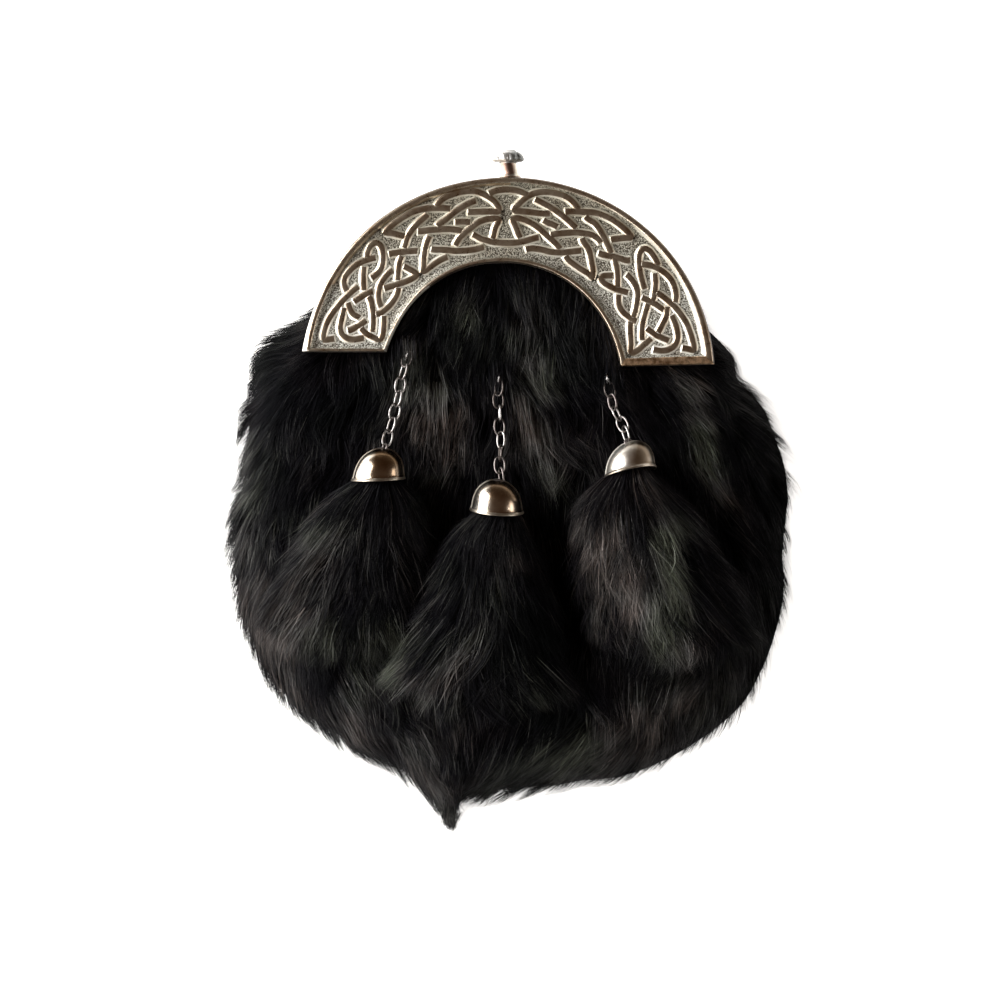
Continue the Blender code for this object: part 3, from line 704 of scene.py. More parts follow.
# Each strand as far as it is on top: its ends ("u" dips under another strand,
# "c" meets another in a corner), then its points along and in.
STRANDS = (
    # left foot
    ("cu", (240, 122), (272, 117), (305, 118), (347, 129), (388, 145), (430, 163), (468, 180), (490, 192)),
    ("cu", (238, 122), (247, 148), (258, 186)),
    ("uu", (388, 177), (347, 187), (308, 195), (282, 214), (271, 245), (271, 278), (283, 312), (296, 342)),
    ("uu", (412, 180), (388, 210), (373, 240), (374, 262), (369, 282)),
    ("uu", (300, 236), (312, 258), (332, 282), (356, 302), (378, 318)),
    ("uc", (334, 300), (319, 330), (313, 352), (309, 380), (302, 424)),
    ("cu", (298, 424), (330, 430), (367, 421), (405, 406), (434, 390)),
    ("uu", (474, 262), (466, 285), (447, 307), (424, 328), (390, 349), (356, 364), (328, 372)),
    ("uu", (420, 208), (445, 226), (470, 243), (492, 261), (506, 276)),
    ("uu", (416, 345), (430, 365), (462, 382), (500, 392), (550, 391), (578, 378), (590, 368)),
    ("uu", (458, 360), (470, 340), (490, 318), (522, 295), (556, 281), (588, 278), (612, 279), (634, 286)),
    ("uu", (482, 230), (500, 212), (526, 187), (548, 166), (566, 150)),
    ("uu", (446, 152), (455, 132), (472, 110), (497, 100), (532, 106), (567, 124), (597, 148), (622, 172)),
    ("uu", (594, 136), (610, 118), (628, 106), (648, 104), (662, 118), (664, 146), (652, 176), (633, 205), (604, 230), (570, 232), (540, 221)),
    ("uc", (538, 310), (556, 325), (582, 346), (613, 367), (650, 386), (702, 399)),
    ("cu", (702, 399), (694, 365), (684, 334), (674, 306)),
    ("uu", (608, 344), (628, 325), (652, 301), (677, 277), (704, 258)),
    ("uu", (662, 204), (678, 216), (702, 237), (733, 262), (760, 284), (772, 296)),
    # left shoulder
    ("uu", (726, 238), (742, 224), (768, 198), (800, 178), (833, 163), (868, 152), (884, 143)),
    ("cu", (702, 104), (737, 97), (775, 94), (817, 95), (850, 101), (884, 114), (917, 132), (948, 150), (974, 166)),
    ("cu", (704, 104), (722, 122), (737, 148), (752, 174), (762, 190)),
    ("uu", (812, 200), (830, 213), (860, 229), (900, 249), (934, 266), (967, 286), (992, 304)),
    ("cu", (721, 402), (746, 384), (775, 342), (804, 304), (832, 272), (852, 254)),
    ("cu", (723, 404), (767, 404), (808, 402), (846, 401), (884, 404)),
    ("uu", (822, 320), (838, 336), (860, 349), (892, 370), (926, 391), (960, 404), (1000, 414), (1042, 417), (1078, 412)),
    ("uu", (892, 228), (910, 219), (934, 213), (958, 202), (988, 186), (1018, 173), (1045, 163), (1078, 154)),
    ("uc", (920, 128), (942, 108), (966, 97), (995, 93), (1030, 93), (1071, 102), (1098, 120), (1122, 145), (1144, 172), (1158, 201), (1169, 229)),
    ("cu", (1170, 231), (1146, 230), (1118, 225), (1083, 220), (1050, 214), (1030, 206)),
    ("uu", (968, 240), (990, 248), (1010, 255), (1038, 268)),
    ("uc", (932, 366), (952, 347), (975, 328), (1002, 311), (1034, 295), (1067, 276), (1100, 267), (1136, 266), (1168, 271)),
    ("cu", (1169, 271), (1157, 285), (1147, 304), (1137, 330), (1129, 360), (1118, 380)),
    # middle
    ("uu", (1028, 330), (1046, 348), (1064, 366), (1090, 381), (1120, 393), (1160, 401), (1200, 404), (1242, 400), (1283, 388), (1317, 371), (1352, 352)),
    ("uu", (1124, 130), (1142, 121), (1162, 114), (1200, 111), (1235, 117), (1262, 130), (1276, 138)),
    # right shoulder
    ("cu", (1213, 268), (1240, 266), (1264, 271), (1293, 282), (1325, 298), (1358, 319), (1392, 341), (1425, 358), (1452, 374), (1468, 386)),
    ("cu", (1212, 268), (1225, 294), (1236, 322), (1248, 352), (1262, 378)),
    ("cu", (1216, 227), (1235, 198), (1254, 170), (1272, 145), (1297, 123), (1325, 108), (1358, 100), (1392, 99), (1421, 104), (1446, 117), (1468, 137), (1480, 148)),
    ("cu", (1216, 227), (1250, 227), (1292, 227), (1333, 225), (1360, 218), (1376, 210)),
    ("uu", (1300, 152), (1320, 161), (1354, 175), (1392, 192), (1433, 212), (1465, 228), (1500, 246)),
    ("uu", (1348, 256), (1368, 266), (1392, 268), (1424, 276)),
    ("uc", (1426, 184), (1443, 174), (1468, 160), (1500, 144), (1533, 125), (1567, 114), (1608, 109), (1650, 110), (1708, 118)),
    ("cu", (1708, 118), (1690, 141), (1672, 165), (1652, 192), (1642, 208)),
    ("uu", (1507, 164), (1524, 172), (1556, 175), (1588, 194), (1619, 217), (1650, 240), (1684, 264)),
    ("uu", (1622, 250), (1600, 240), (1567, 238), (1537, 250), (1500, 267), (1467, 287), (1425, 311), (1396, 330)),
    ("uu", (1290, 436), (1310, 426), (1338, 420), (1378, 417), (1418, 416), (1450, 408), (1484, 395), (1516, 375), (1542, 356), (1566, 336)),
    ("uc", (1534, 276), (1552, 295), (1574, 307), (1598, 325), (1632, 364), (1662, 396), (1692, 436)),
    ("cu", (1692, 436), (1655, 427), (1608, 430), (1567, 428), (1528, 421), (1500, 404)),
    ("uu", (1630, 304), (1648, 298), (1671, 286), (1700, 266), (1728, 249), (1748, 236), (1762, 214)),
    ("uu", (1700, 264), (1721, 285), (1752, 311), (1783, 343), (1812, 374)),
    ("cu", (1710, 404), (1722, 382), (1742, 358), (1758, 342)),
    ("cu", (1710, 404), (1745, 410), (1783, 399), (1817, 381), (1845, 360), (1866, 340)),
    # right foot
    ("uu", (1788, 288), (1808, 286), (1842, 286), (1883, 299), (1917, 328), (1950, 360), (1982, 398)),
    ("uu", (1850, 128), (1836, 117), (1812, 110), (1787, 107), (1766, 118), (1764, 145), (1776, 174), (1798, 200), (1828, 226), (1860, 246), (1896, 262)),
    ("uu", (1800, 192), (1812, 176), (1834, 152), (1862, 131), (1892, 115), (1925, 109), (1958, 117), (1983, 132), (2004, 152)),
    ("uu", (1860, 160), (1876, 174), (1897, 190), (1921, 216), (1942, 240), (1958, 262)),
    ("uu", (1912, 300), (1930, 286), (1954, 266), (1983, 243), (2012, 222)),
    ("uu", (1952, 282), (1968, 302), (2000, 337), (2033, 365), (2067, 382), (2106, 396)),
    ("uu", (1838, 388), (1856, 406), (1883, 423), (1917, 429), (1950, 420), (1983, 403), (2008, 382)),
    ("uc", (1930, 218), (1950, 201), (1983, 181), (2025, 158), (2067, 142), (2100, 132), (2150, 127), (2200, 124)),
    ("cu", (2200, 124), (2189, 155), (2178, 196)),
    ("uu", (2038, 196), (2064, 194), (2094, 193), (2133, 200), (2157, 220), (2172, 252), (2176, 287), (2171, 320), (2158, 352)),
    ("uu", (2000, 196), (2016, 209), (2036, 223), (2058, 253), (2076, 278), (2094, 302)),
    ("uu", (2142, 250), (2128, 270), (2116, 289), (2102, 309), (2078, 332), (2050, 352)),
    ("uc", (2104, 340), (2114, 360), (2128, 395), (2146, 432), (2160, 476)),
    ("cu", (2160, 476), (2110, 460), (2050, 443), (2008, 426), (1988, 412)),
)

# across a strand: offset from its middle, height over the ground
STRAND_PROFILE = np.array(
    (
        (-1.95, -0.30),
        (-1.88, -0.02),
        (-1.70, 0.12),
        (-1.16, 0.68),
        (-1.02, 0.78),
        (-0.50, 0.85),
        (0.0, 0.87),
        (0.50, 0.85),
        (1.02, 0.78),
        (1.16, 0.68),
        (1.70, 0.12),
        (1.88, -0.02),
        (1.95, -0.30),
    )
)
GROUND = 39.15
END_RUN = 0.75


def read_at(path, at):
    """Points of a path at the given distances along it."""
    run = np.concatenate(((0,), np.cumsum(np.linalg.norm(np.diff(path, axis=0), axis=1))))
    return np.stack([np.interp(at, run, path[:, k]) for k in range(path.shape[1])], -1)


def strand_rows(path, ends):
    """Rows of points across a strand, rounded off where it goes under another,
    and which of its faces are sides."""
    # a strand that dips runs on a little, under its neighbour
    first, final = path[0] - path[1], path[-1] - path[-2]
    first, final = first / np.linalg.norm(first), final / np.linalg.norm(final)
    if ends[0] == "u":
        path = np.vstack((path[:1] + first * 0.45, path))
    if ends[1] == "u":
        path = np.vstack((path, path[-1:] + final * 0.45))
    whole = np.linalg.norm(np.diff(path, axis=0), axis=1).sum()
    close = np.array((0.0, 0.06, 0.16, 0.32, 0.55, 0.8, 1.0))
    middle = np.linspace(1.0, whole - 1.0, max(2, int((whole - 2.0) / 0.66) + 1))[1:-1]
    at = np.concatenate((close, middle, whole - close[::-1]))
    path = read_at(path, at)
    t = np.gradient(path, axis=0)
    t /= np.linalg.norm(t, axis=1, keepdims=True)
    side = np.stack((-t[:, 1], t[:, 0]), -1)
    tall = np.ones(len(path))
    thin = np.ones(len(path))
    for kind, dist in ((ends[0], at), (ends[1], whole - at)):
        if kind == "u":
            k = np.clip(dist / END_RUN, 0, 1)
            tall = np.minimum(tall, k)
            thin = np.minimum(thin, 0.45 + 0.55 * np.sqrt(1 - (1 - k) ** 2))
        else:
            k = np.clip(dist / 1.1, 0, 1)
            thin = np.minimum(thin, 0.62 + 0.38 * k)
    off = STRAND_PROFILE[None, :, 0] * thin[:, None]
    high = STRAND_PROFILE[None, :, 1] * tall[:, None] - 0.12 * (1 - tall[:, None])
    xy = path[:, None] + side[:, None] * off[..., None]
    z = GROUND + high
    slope = np.ones((len(path) - 1, len(STRAND_PROFILE) - 1), int)
    slope[:, 3:9] = 0
    slope[(tall[:-1] + tall[1:]) / 2 < 0.9] = 1
    return np.concatenate((xy, z[..., None]), -1), slope


def make_cantle():
    bag = Bag()
    around, across = 170, 26
    # From the inner lower edge over the rim to the ground: how much of the rims'
    # bevel, flat and slope is passed, how much more, and the height (-1: the
    # wall's foot).
    rows = (
        # bevel, flat, slope, more, z
        (0, 0, 0, 1.8, 37.0),
        (0, 0, 0, 1.8, -1.0),
        (0, 0, 0, 0.35, -1.0),
        (0, 0, 0, 0.02, -0.7),
        (0, 0, 0, 0, 38.0),
        (0, 0, 0, 0, 39.5),
        (0.12, 0, 0, 0, 39.9),
        (0.70, 0, 0, 0, 40.62),
        (1.00, 0.04, 0, 0, 40.90),
        (1.00, 0.14, 0, 0, 41.02),
        (1.00, 0.50, 0, 0, 41.07),
        (1.00, 0.86, 0, 0, 41.02),
        (1.00, 0.96, 0, 0, 40.92),
        (1.00, 1.00, 0.08, 0, 40.76),
        (1.00, 1.00, 0.80, 0, 39.68),
        (1.00, 1.00, 0.92, 0, 39.42),
        (1.00, 1.00, 1.05, 0, 39.22),
        (1.00, 1.00, 1.15, 0, GROUND),
    )
    loops = []
    for bevel, flat, slope, more, z in rows:
        xy = arch(bevel, flat, slope, more, around, across)
        zs = np.full(len(xy), z, float)
        if z < 0:
            foot = np.full(len(xy), CANTLE_FOOT)
            # the skirt runs out near the feet
            k = np.arange(around)
            near = np.minimum(k, around - 1 - k)
            foot[:around] = SKIRT_FOOT + (CANTLE_FOOT - SKIRT_FOOT) * np.clip(1 - near / 3, 0, 1)
            zs = foot + (z + 1.0)
        loops.append(np.column_stack((xy, zs)))
    # the rims' slopes are stippled, but the outer rim's slope is a painted highlight, the
    # bright metal, on the right, and painted shade, plain brown silver, from the top to the
    # left; the outer bevel is painted shade, the dark metal, but near the left foot, where
    # it and the inner bevel are a painted highlight; the right foot's face has its own
    # orange-brown metal
    paint = np.zeros((len(rows) - 1, len(loops[0])), int)
    inside = around + across - 2
    paint[-5:] = 1
    paint[-4:-1, : int(around * 0.27)] = 2
    paint[1:4] = 4
    paint[-4:-1, int(around * 0.50) : int(around * 0.88)] = 0
    paint[5:8, : int(around * 0.88)] = 5
    paint[5:8, int(around * 0.88) : around] = 2
    paint[5:8, inside : inside + int(around * 0.24)] = 2
    paint[4:-4, inside + around - 1 :] = 3
    bag.grid(np.stack(loops), close_v=True, paint=paint)
    last = loops[-1]
    outer = last[:around]
    inner = last[around + across - 2 : 2 * around + across - 2][::-1]
    t = np.linspace(0, 1, across)[:, None, None]
    field = outer[None] + (inner[None] - outer[None]) * t
    rng = np.random.default_rng(3)
    wave = 0.05 * np.sin(field[..., 0] * 0.9 + 1.3) * np.cos(field[..., 1] * 1.1)
    wave[0] = wave[-1] = 0
    wave[:, 0] = wave[:, -1] = 0
    field[..., 2] += wave
    bag.grid(field, paint=1)
    # plate's underside
    under = loops[0]
    outer = under[:around]
    inner = under[around + across - 2 : 2 * around + across - 2][::-1]
    bag.grid(outer[None] + (inner[None] - outer[None]) * t)
    # strands
    # strands, their sides in the bright metal: painted highlight
    middles = []
    for ends, *rows in STRANDS:
        path = catmull(from_chart(rows), 0.4)
        middles.append(path[1:-1:2])
        points, slope = strand_rows(path, ends)
        bag.grid(points, paint=slope * 2)
    middles = np.vstack(middles)
    # the ground's stipple
    pitch = 0.80
    rs = np.arange(INNER_R + 1.6, ARCH_R - 2.4, pitch * 0.9)
    dots = []
    for k, r in enumerate(rs):
        n = int(math.pi * 1.06 * r / pitch)
        a = np.linspace(-0.09, math.pi + 0.09, n) + (k % 2) * pitch / r / 2
        dots.append(np.stack((r * np.cos(a), ARCH_Y + 0.5 + r * np.sin(a)), -1))
    dots = np.vstack(dots)
    dots += rng.uniform(-0.27, 0.27, dots.shape)
    dx, dy = dots[:, 0], dots[:, 1] - ARCH_Y
    ex, ey = dots[:, 0] - INNER_C[0], dots[:, 1] - INNER_C[1]
    out_r, in_r = np.hypot(dx, dy), np.hypot(ex, ey)
    foot = np.where(dots[:, 0] < 0, FEET_Y["left"][1] + 2.5, FEET_Y["right"][0] + 4.2)
    keep = (
        (out_r < ARCH_R + eased(OUTER_EASE, np.arctan2(dy, dx)) - 3.6)
        & (in_r > INNER_R + eased(INNER_EASE, np.arctan2(ey, ex)) + 3.6)
        & (dots[:, 1] > foot)
    )
    dots = dots[keep]
    near = np.full(len(dots), 1e9)
    for k in range(0, len(middles), 200):
        d = ((dots[:, None] - middles[None, k : k + 200]) ** 2).sum(-1).min(1)
        near = np.minimum(near, d)
    dots = dots[near > 1.62**2]
    n = len(dots)
    radius = rng.uniform(0.30, 0.42, n)
    height = rng.uniform(0.16, 0.32, n)
    a = TAU * np.arange(6) / 6
    ring = np.stack(
        (
            dots[:, None, 0] + radius[:, None] * np.cos(a + 0.4),
            dots[:, None, 1] + radius[:, None] * np.sin(a + 0.4),
            np.full((n, 6), GROUND - 0.07),
        ),
        -1,
    )
    tops = np.column_stack((dots, GROUND + height))[:, None]
    verts = np.concatenate((tops, ring), 1).reshape(-1, 3)
    base = np.arange(n)[:, None, None] * 7
    k = np.arange(6)
    fan = np.stack((np.zeros(6, int), 1 + k, 1 + (k + 1) % 6), -1)[None]
    bag.add(verts, None, (base + fan).reshape(-1, 3), paint=1)
    ob = bag.made("cantle_cast", SILVER, SILVER_GROUND, SILVER_PAINTED_HIGHLIGHT, SILVER_FOOT, SILVER_WALL, SILVER_PAINTED_SHADE)
    fix_normals(ob, 0.0005)
    print("cantle dots", n)
    return ob


cantle = make_cantle()
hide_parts("cantle")


# ----------------------------------------------------------------------- knob
def lathe(rows, steps, centre, up, scallop=None, travel=None):
    """A profile of radius and height turned about the direction up. Its middle
    can move along another direction, travel. Returns rows of points."""
    up = np.asarray(up, float)
    e1 = np.array((up[1], -up[0], 0.0)) / math.hypot(up[0], up[1])
    e2 = np.cross(e1, up)
    up = up if travel is None else np.asarray(travel, float)
    a = TAU * np.arange(steps) / steps
    out = []
    for r, t in rows:
        radius = np.full(steps, r)
        if scallop is not None:
            radius = radius + scallop(r, t, a)
        out.append(
            np.asarray(centre)
            + up * t
            + radius[:, None] * (e1[None] * np.cos(a)[:, None] + e2[None] * np.sin(a)[:, None])
        )
    return np.stack(out)


def smooth_profile(rows, step):
    return catmull(rows, step)


def make_knob():
    bag = Bag()
    rows = (
        # radius, height
        (0.02, 10.2),
        (2.6, 10.15),
        (3.5, 9.95),
        (4.1, 9.45),
        (5.1, 8.95),
        (5.8, 8.2),
        (6.1, 7.2),
        (5.95, 6.3),
        (5.3, 5.8),
        (4.3, 5.6),
        (3.4, 5.5),
        (3.05, 5.1),
        (2.95, 4.2),
        (2.95, 2.0),
        (3.05, 1.2),
        (3.5, 0.5),
        (3.9, 0.1),
        (3.3, -0.3),
        (0.02, -0.3),
    )

    def knurl(r, t, a):
        if r < 4.2 or t > 9.3 or t < 5.5:
            return 0 * a
        deep = 0.9 * min(1.0, (9.3 - t) / 2.0) * min(1.0, (r - 4.2) / 0.8)
        return deep * (np.abs(np.cos(5 * a + 0.5)) ** 0.6 - 0.92)

    rows = smooth_profile(rows, 0.36)
    # the head sits a little left of its stem
    points = lathe(rows, 80, (0.75, ARCH_Y + ARCH_R, KNOB_Z), (0, 1, 0), knurl, travel=(-0.17, 1, 0))
    stem = (rows[:-1, 1] < 5.3).astype(int)
    bag.grid(points, close_v=True, paint=stem[:, None])
    ob = bag.made("finial_turned", KNOB, KNOB_STEM)
    fix_normals(ob)
    return ob


knob = make_knob()
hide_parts("finial_knob")


# --------------------------------------------------------------- caps, chains
def seen(px, py, z):
    """Where a point of the 1000 x 1000 picture lies at a height z."""
    k = 0.368 * (1400 - z) / 1361
    return -3.13 + (px - 500) * k, -4.05 - (py - 500) * k


def pictured(p):
    k = 0.368 * (1400 - p[..., 2]) / 1361
    return 500 + (p[..., 0] + 3.13) / k, 500 - (p[..., 1] + 4.05) / k


def drop_axis(drop):
    lean = math.radians(drop["lean"])
    return np.array((-math.sin(lean), math.cos(lean), 0.0))


# How each cap lies: its mouth's lean and tilt, its crown's lean, in degrees, and
# how far its mouth is from the plain part's.
CAPS = {
    "left": dict(lean=2, tilt=3, crown=-5.5, dx=-0.1, dy=0.5),
    "middle": dict(lean=-4, tilt=9, crown=-1.0, dx=-0.3, dy=0.8),
    "right": dict(lean=12, tilt=-9, crown=-1.0, dx=-0.4, dy=-0.8),
}
# The links' middles as they lie in the picture, from the top down, how far each
# is turned from flat, in degrees, and how much painted shade it takes (0 none, 2 the most).
LINKS = {
    "left": (
        # x, y, turn, painted shade
        (407.0, 359.0, 25, 2),
        (403.4, 371.7, 58, 0),
        (400.2, 385.0, -18, 0),
        (398.0, 398.4, 56, 0),
        (394.6, 411.8, -16, 0),
        (391.2, 425.3, 52, 0),
        (387.4, 438.2, -30, 0),
    ),
    "middle": (
        # x, y, turn, painted shade
        (498.9, 387.6, 42, 2),
        (498.3, 400.2, -10, 2),
        (499.8, 413.4, 84, 0),
        (499.4, 426.6, -12, 1),
        (500.9, 440.0, 46, 0),
        (500.3, 453.0, -80, 2),
        (499.6, 465.2, 8, 1),
        (501.2, 475.8, 66, 1),
    ),
    "right": (
        # x, y, turn, painted shade
        (609.8, 389.8, -10, 2),
        (612.3, 402.3, 45, 1),
        (616.3, 413.7, -58, 0),
        (622.4, 424.3, 12, 0),
        (625.6, 433.8, 60, 0),
    ),
}


def make_cap(side, drop):
    bag = Bag()
    outer = (
        # radius, height
        (0.02, 11.9),
        (1.6, 11.8),
        (3.2, 11.4),
        (4.8, 10.6),
        (6.3, 9.4),
        (7.5, 7.9),
        (8.4, 6.1),
        (8.95, 4.3),
        (9.2, 2.9),
        (9.35, 2.0),
        (9.6, 1.2),
        (9.95, 0.65),
        (10.02, 0.38),
        (9.9, 0.15),
        (9.5, 0.15),
        (9.15, 0.7),
        (8.8, 2.2),
        (8.1, 4.9),
        (6.9, 7.3),
        (4.8, 9.4),
        (2.4, 10.6),
        (0.02, 11.0),
    )
    lies = CAPS[side]
    lean, tilt, crown = (math.radians(lies[key]) for key in ("lean", "tilt", "crown"))
    up = np.array((-math.sin(lean) * math.cos(tilt), math.cos(lean) * math.cos(tilt), math.sin(tilt)))
    travel = np.array((-math.sin(crown) * math.cos(tilt), math.cos(crown) * math.cos(tilt), math.sin(tilt)))
    centre = np.array((drop["mouth"][0] + lies["dx"], drop["mouth"][1] + lies["dy"], DROP_Z))
    rows = smooth_profile(outer, 0.8)
    lip = ((rows[:-1, 1] < 1.5) & (rows[:-1, 0] > 9.3)).astype(int) * 2
    bag.grid(lathe(rows, 64, centre, up, travel=travel), close_v=True, paint=lip[:, None])
    # the foot of the eyelet, and the eyelet that the last link hangs from
    foot = ((0.02, 12.3), (0.7, 12.25), (1.1, 12.1), (1.5, 11.9), (1.9, 11.5))
    bag.grid(lathe(smooth_profile(foot, 0.3), 18, centre, up, travel=travel), close_v=True, paint=1)
    ends = link_places(side)
    line = ends[-1] - ends[-2]
    line /= np.linalg.norm(line)
    middle = ends[-1] + line * (VISIBLE_L / 2 - LINK_WIRE - EYE_WIRE_R * 0.8 + EYE_R)
    across = np.cross((0, 0, 1.0), line)
    across /= np.linalg.norm(across)
    turn = math.radians(LINKS[side][-1][2] + 90)
    across = across * math.cos(turn) + np.cross(line, across) * math.sin(turn)
    a = TAU * np.arange(26) / 26
    ring = middle + EYE_R * (line[None] * np.cos(a)[:, None] + across[None] * np.sin(a)[:, None])
    bag.grid(tube(ring, EYE_WIRE_R * 0.8, 8, closed=True, ref=np.cross(line, across)), close_u=True, close_v=True, paint=1)
    ob = bag.made(f"cap_{side}", CHROME[side], STEEL_MID, CAP_LIP)
    fix_normals(ob)
    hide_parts(f"tassel_cap_{side}")
    return ob


VISIBLE_L = 6.8


def link_places(side):
    """The links' middles, rising from the fur to the cap's crown."""
    rows = LINKS[side]
    out = []
    for k, (px, py, _, _) in enumerate(rows):
        z = CHAIN_Z + 0.4 + (DROP_Z - CHAIN_Z) * (k + 0.5) / len(rows)
        out.append((*seen(px, py, z), z))
    return np.array(out)


def make_links(side, drop):
    half, wide = VISIBLE_L / 2 - LINK_WIRE / 2, LINK_W / 2 - LINK_WIRE / 2
    places = link_places(side)
    lines = np.gradient(places, axis=0)
    lines /= np.linalg.norm(lines, axis=1, keepdims=True)
    a = TAU * (np.arange(30) + 0.5) / 30
    c, s = np.cos(a), np.sin(a)
    u = half * np.sign(c) * np.abs(c) ** 0.85
    v = wide * np.sign(s) * np.abs(s) ** 0.85
    for k, (middle, line) in enumerate(zip(places, lines)):
        across = np.cross((0, 0, 1.0), line)
        across /= np.linalg.norm(across)
        turn = math.radians(LINKS[side][k][2])
        e2 = across * math.cos(turn) + np.cross(line, across) * math.sin(turn)
        e3 = np.cross(line, e2)
        ring = middle + line[None] * u[:, None] + e2[None] * v[:, None]
        bag = Bag()
        # painted shade on each link's two ends
        painted_shade_ends = (np.abs(c) > 0.84).astype(int)[:, None]
        bag.grid(tube(ring, LINK_WIRE / 2, 8, closed=True, ref=e3), close_u=True, close_v=True, paint=painted_shade_ends)
        ob = bag.made(f"wire_link_{side}_{k + 1}", (STEEL, STEEL_MID, STEEL_PAINTED_SHADE)[LINKS[side][k][3]], STEEL_PAINTED_SHADE)
        fix_normals(ob)
        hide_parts(f"link_{side}_{k + 1}")


for side, drop in DROPS.items():
    make_cap(side, drop)
    make_links(side, drop)


# ------------------------------------------------------------------ fur forms
def closed_curve(points, per=6):
    points = np.asarray(points, float)
    n = len(points)
    t = (np.arange(per) / per)[:, None]
    out = []
    for i in range(n):
        p0, p1, p2, p3 = (points[(i + k) % n] for k in (-1, 0, 1, 2))
        out.append(
            0.5
            * (2 * p1 + (p2 - p0) * t + (2 * p0 - 5 * p1 + 4 * p2 - p3) * t**2 + (3 * p1 - p0 - 3 * p2 + p3) * t**3)
        )
    return np.vstack(out)


def edge_table(top_r, rows):
    arc = [
        (top_r * math.cos(math.radians(a)), ARCH_Y + top_r * math.sin(math.radians(a))) for a in range(30, 151, 15)
    ]
    left = [(row[1], row[0]) for row in rows]
    right = [(row[2], row[0]) for row in reversed(rows)]
    p = closed_curve(arc + left + right) - MIDDLE
    a = np.arctan2(p[:, 1], p[:, 0]) % TAU
    r = np.hypot(p[:, 0], p[:, 1])
    order = np.argsort(a)
    a, r = a[order], r[order]
    return np.concatenate(((a[-1] - TAU,), a, (a[0] + TAU,))), np.concatenate(((r[-1],), r, (r[0],)))


FUR_A, FUR_R = edge_table(FUR_TOP_R, FUR_ROWS)
POUCH_A, POUCH_R = edge_table(POUCH_TOP_R, [(y, -h, h) for y, h in POUCH_ROWS])


def fur_r(a):
    return np.interp(a % TAU, FUR_A, FUR_R)


def pouch_r(a):
    return np.interp(a % TAU, POUCH_A, POUCH_R)


def ring_r(a, k):
    """Radius of ring k, which may lie between two rings."""
    inner, outer = pouch_r(a), fur_r(a)
    low = np.clip(np.floor(k).astype(int), 0, len(FUR_RINGS) - 2)
    f = k - low

    def at(i):
        return (inner + (outer - inner) * FUR_RINGS[i, 0]) * FUR_RINGS[i, 1]

    return at(low) * (1 - f) + at(low + 1) * f


def ring_z(k):
    return np.interp(k, np.arange(len(FUR_RINGS)), FUR_RINGS[:, 2])


GRID = 1.0
GX = np.arange(-130, 131, GRID)
GY = np.arange(-152, 132, GRID)


def height_map():
    X, Y = np.meshgrid(GX, GY, indexing="ij")
    dx, dy = X - MIDDLE[0], Y - MIDDLE[1]
    a, r = np.arctan2(dy, dx), np.hypot(dx, dy)
    inner, outer = pouch_r(a), fur_r(a)
    radii = np.stack([(inner + (outer - inner) * b) * s for b, s, _ in FUR_RINGS[:10]], -1)
    Z = np.full(X.shape, -9.0)
    for k in range(9):
        r0, r1 = radii[..., k], radii[..., k + 1]
        z0, z1 = FUR_RINGS[k, 2], FUR_RINGS[k + 1, 2]
        on = (r >= r0) & (r <= r1)
        Z = np.where(on, z0 + (z1 - z0) * (r - r0) / np.maximum(r1 - r0, 1e-6), Z)
    beyond = r > radii[..., 9]
    Z = np.where(beyond, np.maximum(7.0 - (r - radii[..., 9]) * 2.2, -14.0), Z)
    for _ in range(6):
        P = np.pad(Z, 1, mode="edge")
        Z = (P[1:-1, 1:-1] * 2 + P[:-2, 1:-1] + P[2:, 1:-1] + P[1:-1, :-2] + P[1:-1, 2:]) / 6
    return Z


HEIGHT = height_map()
SLOPE_X, SLOPE_Y = np.gradient(HEIGHT, GRID)


def read(grid, x, y):
    fx = np.clip((x - GX[0]) / GRID, 0, len(GX) - 1.001)
    fy = np.clip((y - GY[0]) / GRID, 0, len(GY) - 1.001)
    i, j = fx.astype(int), fy.astype(int)
    u, v = fx - i, fy - j
    return (
        grid[i, j] * (1 - u) * (1 - v)
        + grid[i + 1, j] * u * (1 - v)
        + grid[i, j + 1] * (1 - u) * v
        + grid[i + 1, j + 1] * u * v
    )


def surface_normal(x, y):
    n = np.stack((-read(SLOPE_X, x, y), -read(SLOPE_Y, x, y), np.ones_like(x)), -1)
    return n / np.linalg.norm(n, axis=-1, keepdims=True)


def under_cantle(x, y, grow=0.0):
    out_r = np.hypot(x, y - ARCH_Y)
    in_r = np.hypot(x - INNER_C[0], y - INNER_C[1])
    foot = np.where(x < 0, LEG_END_Y[-1], LEG_END_Y[1])
    return (out_r < ARCH_R + grow) & (in_r > INNER_R - grow) & (y > foot - grow)


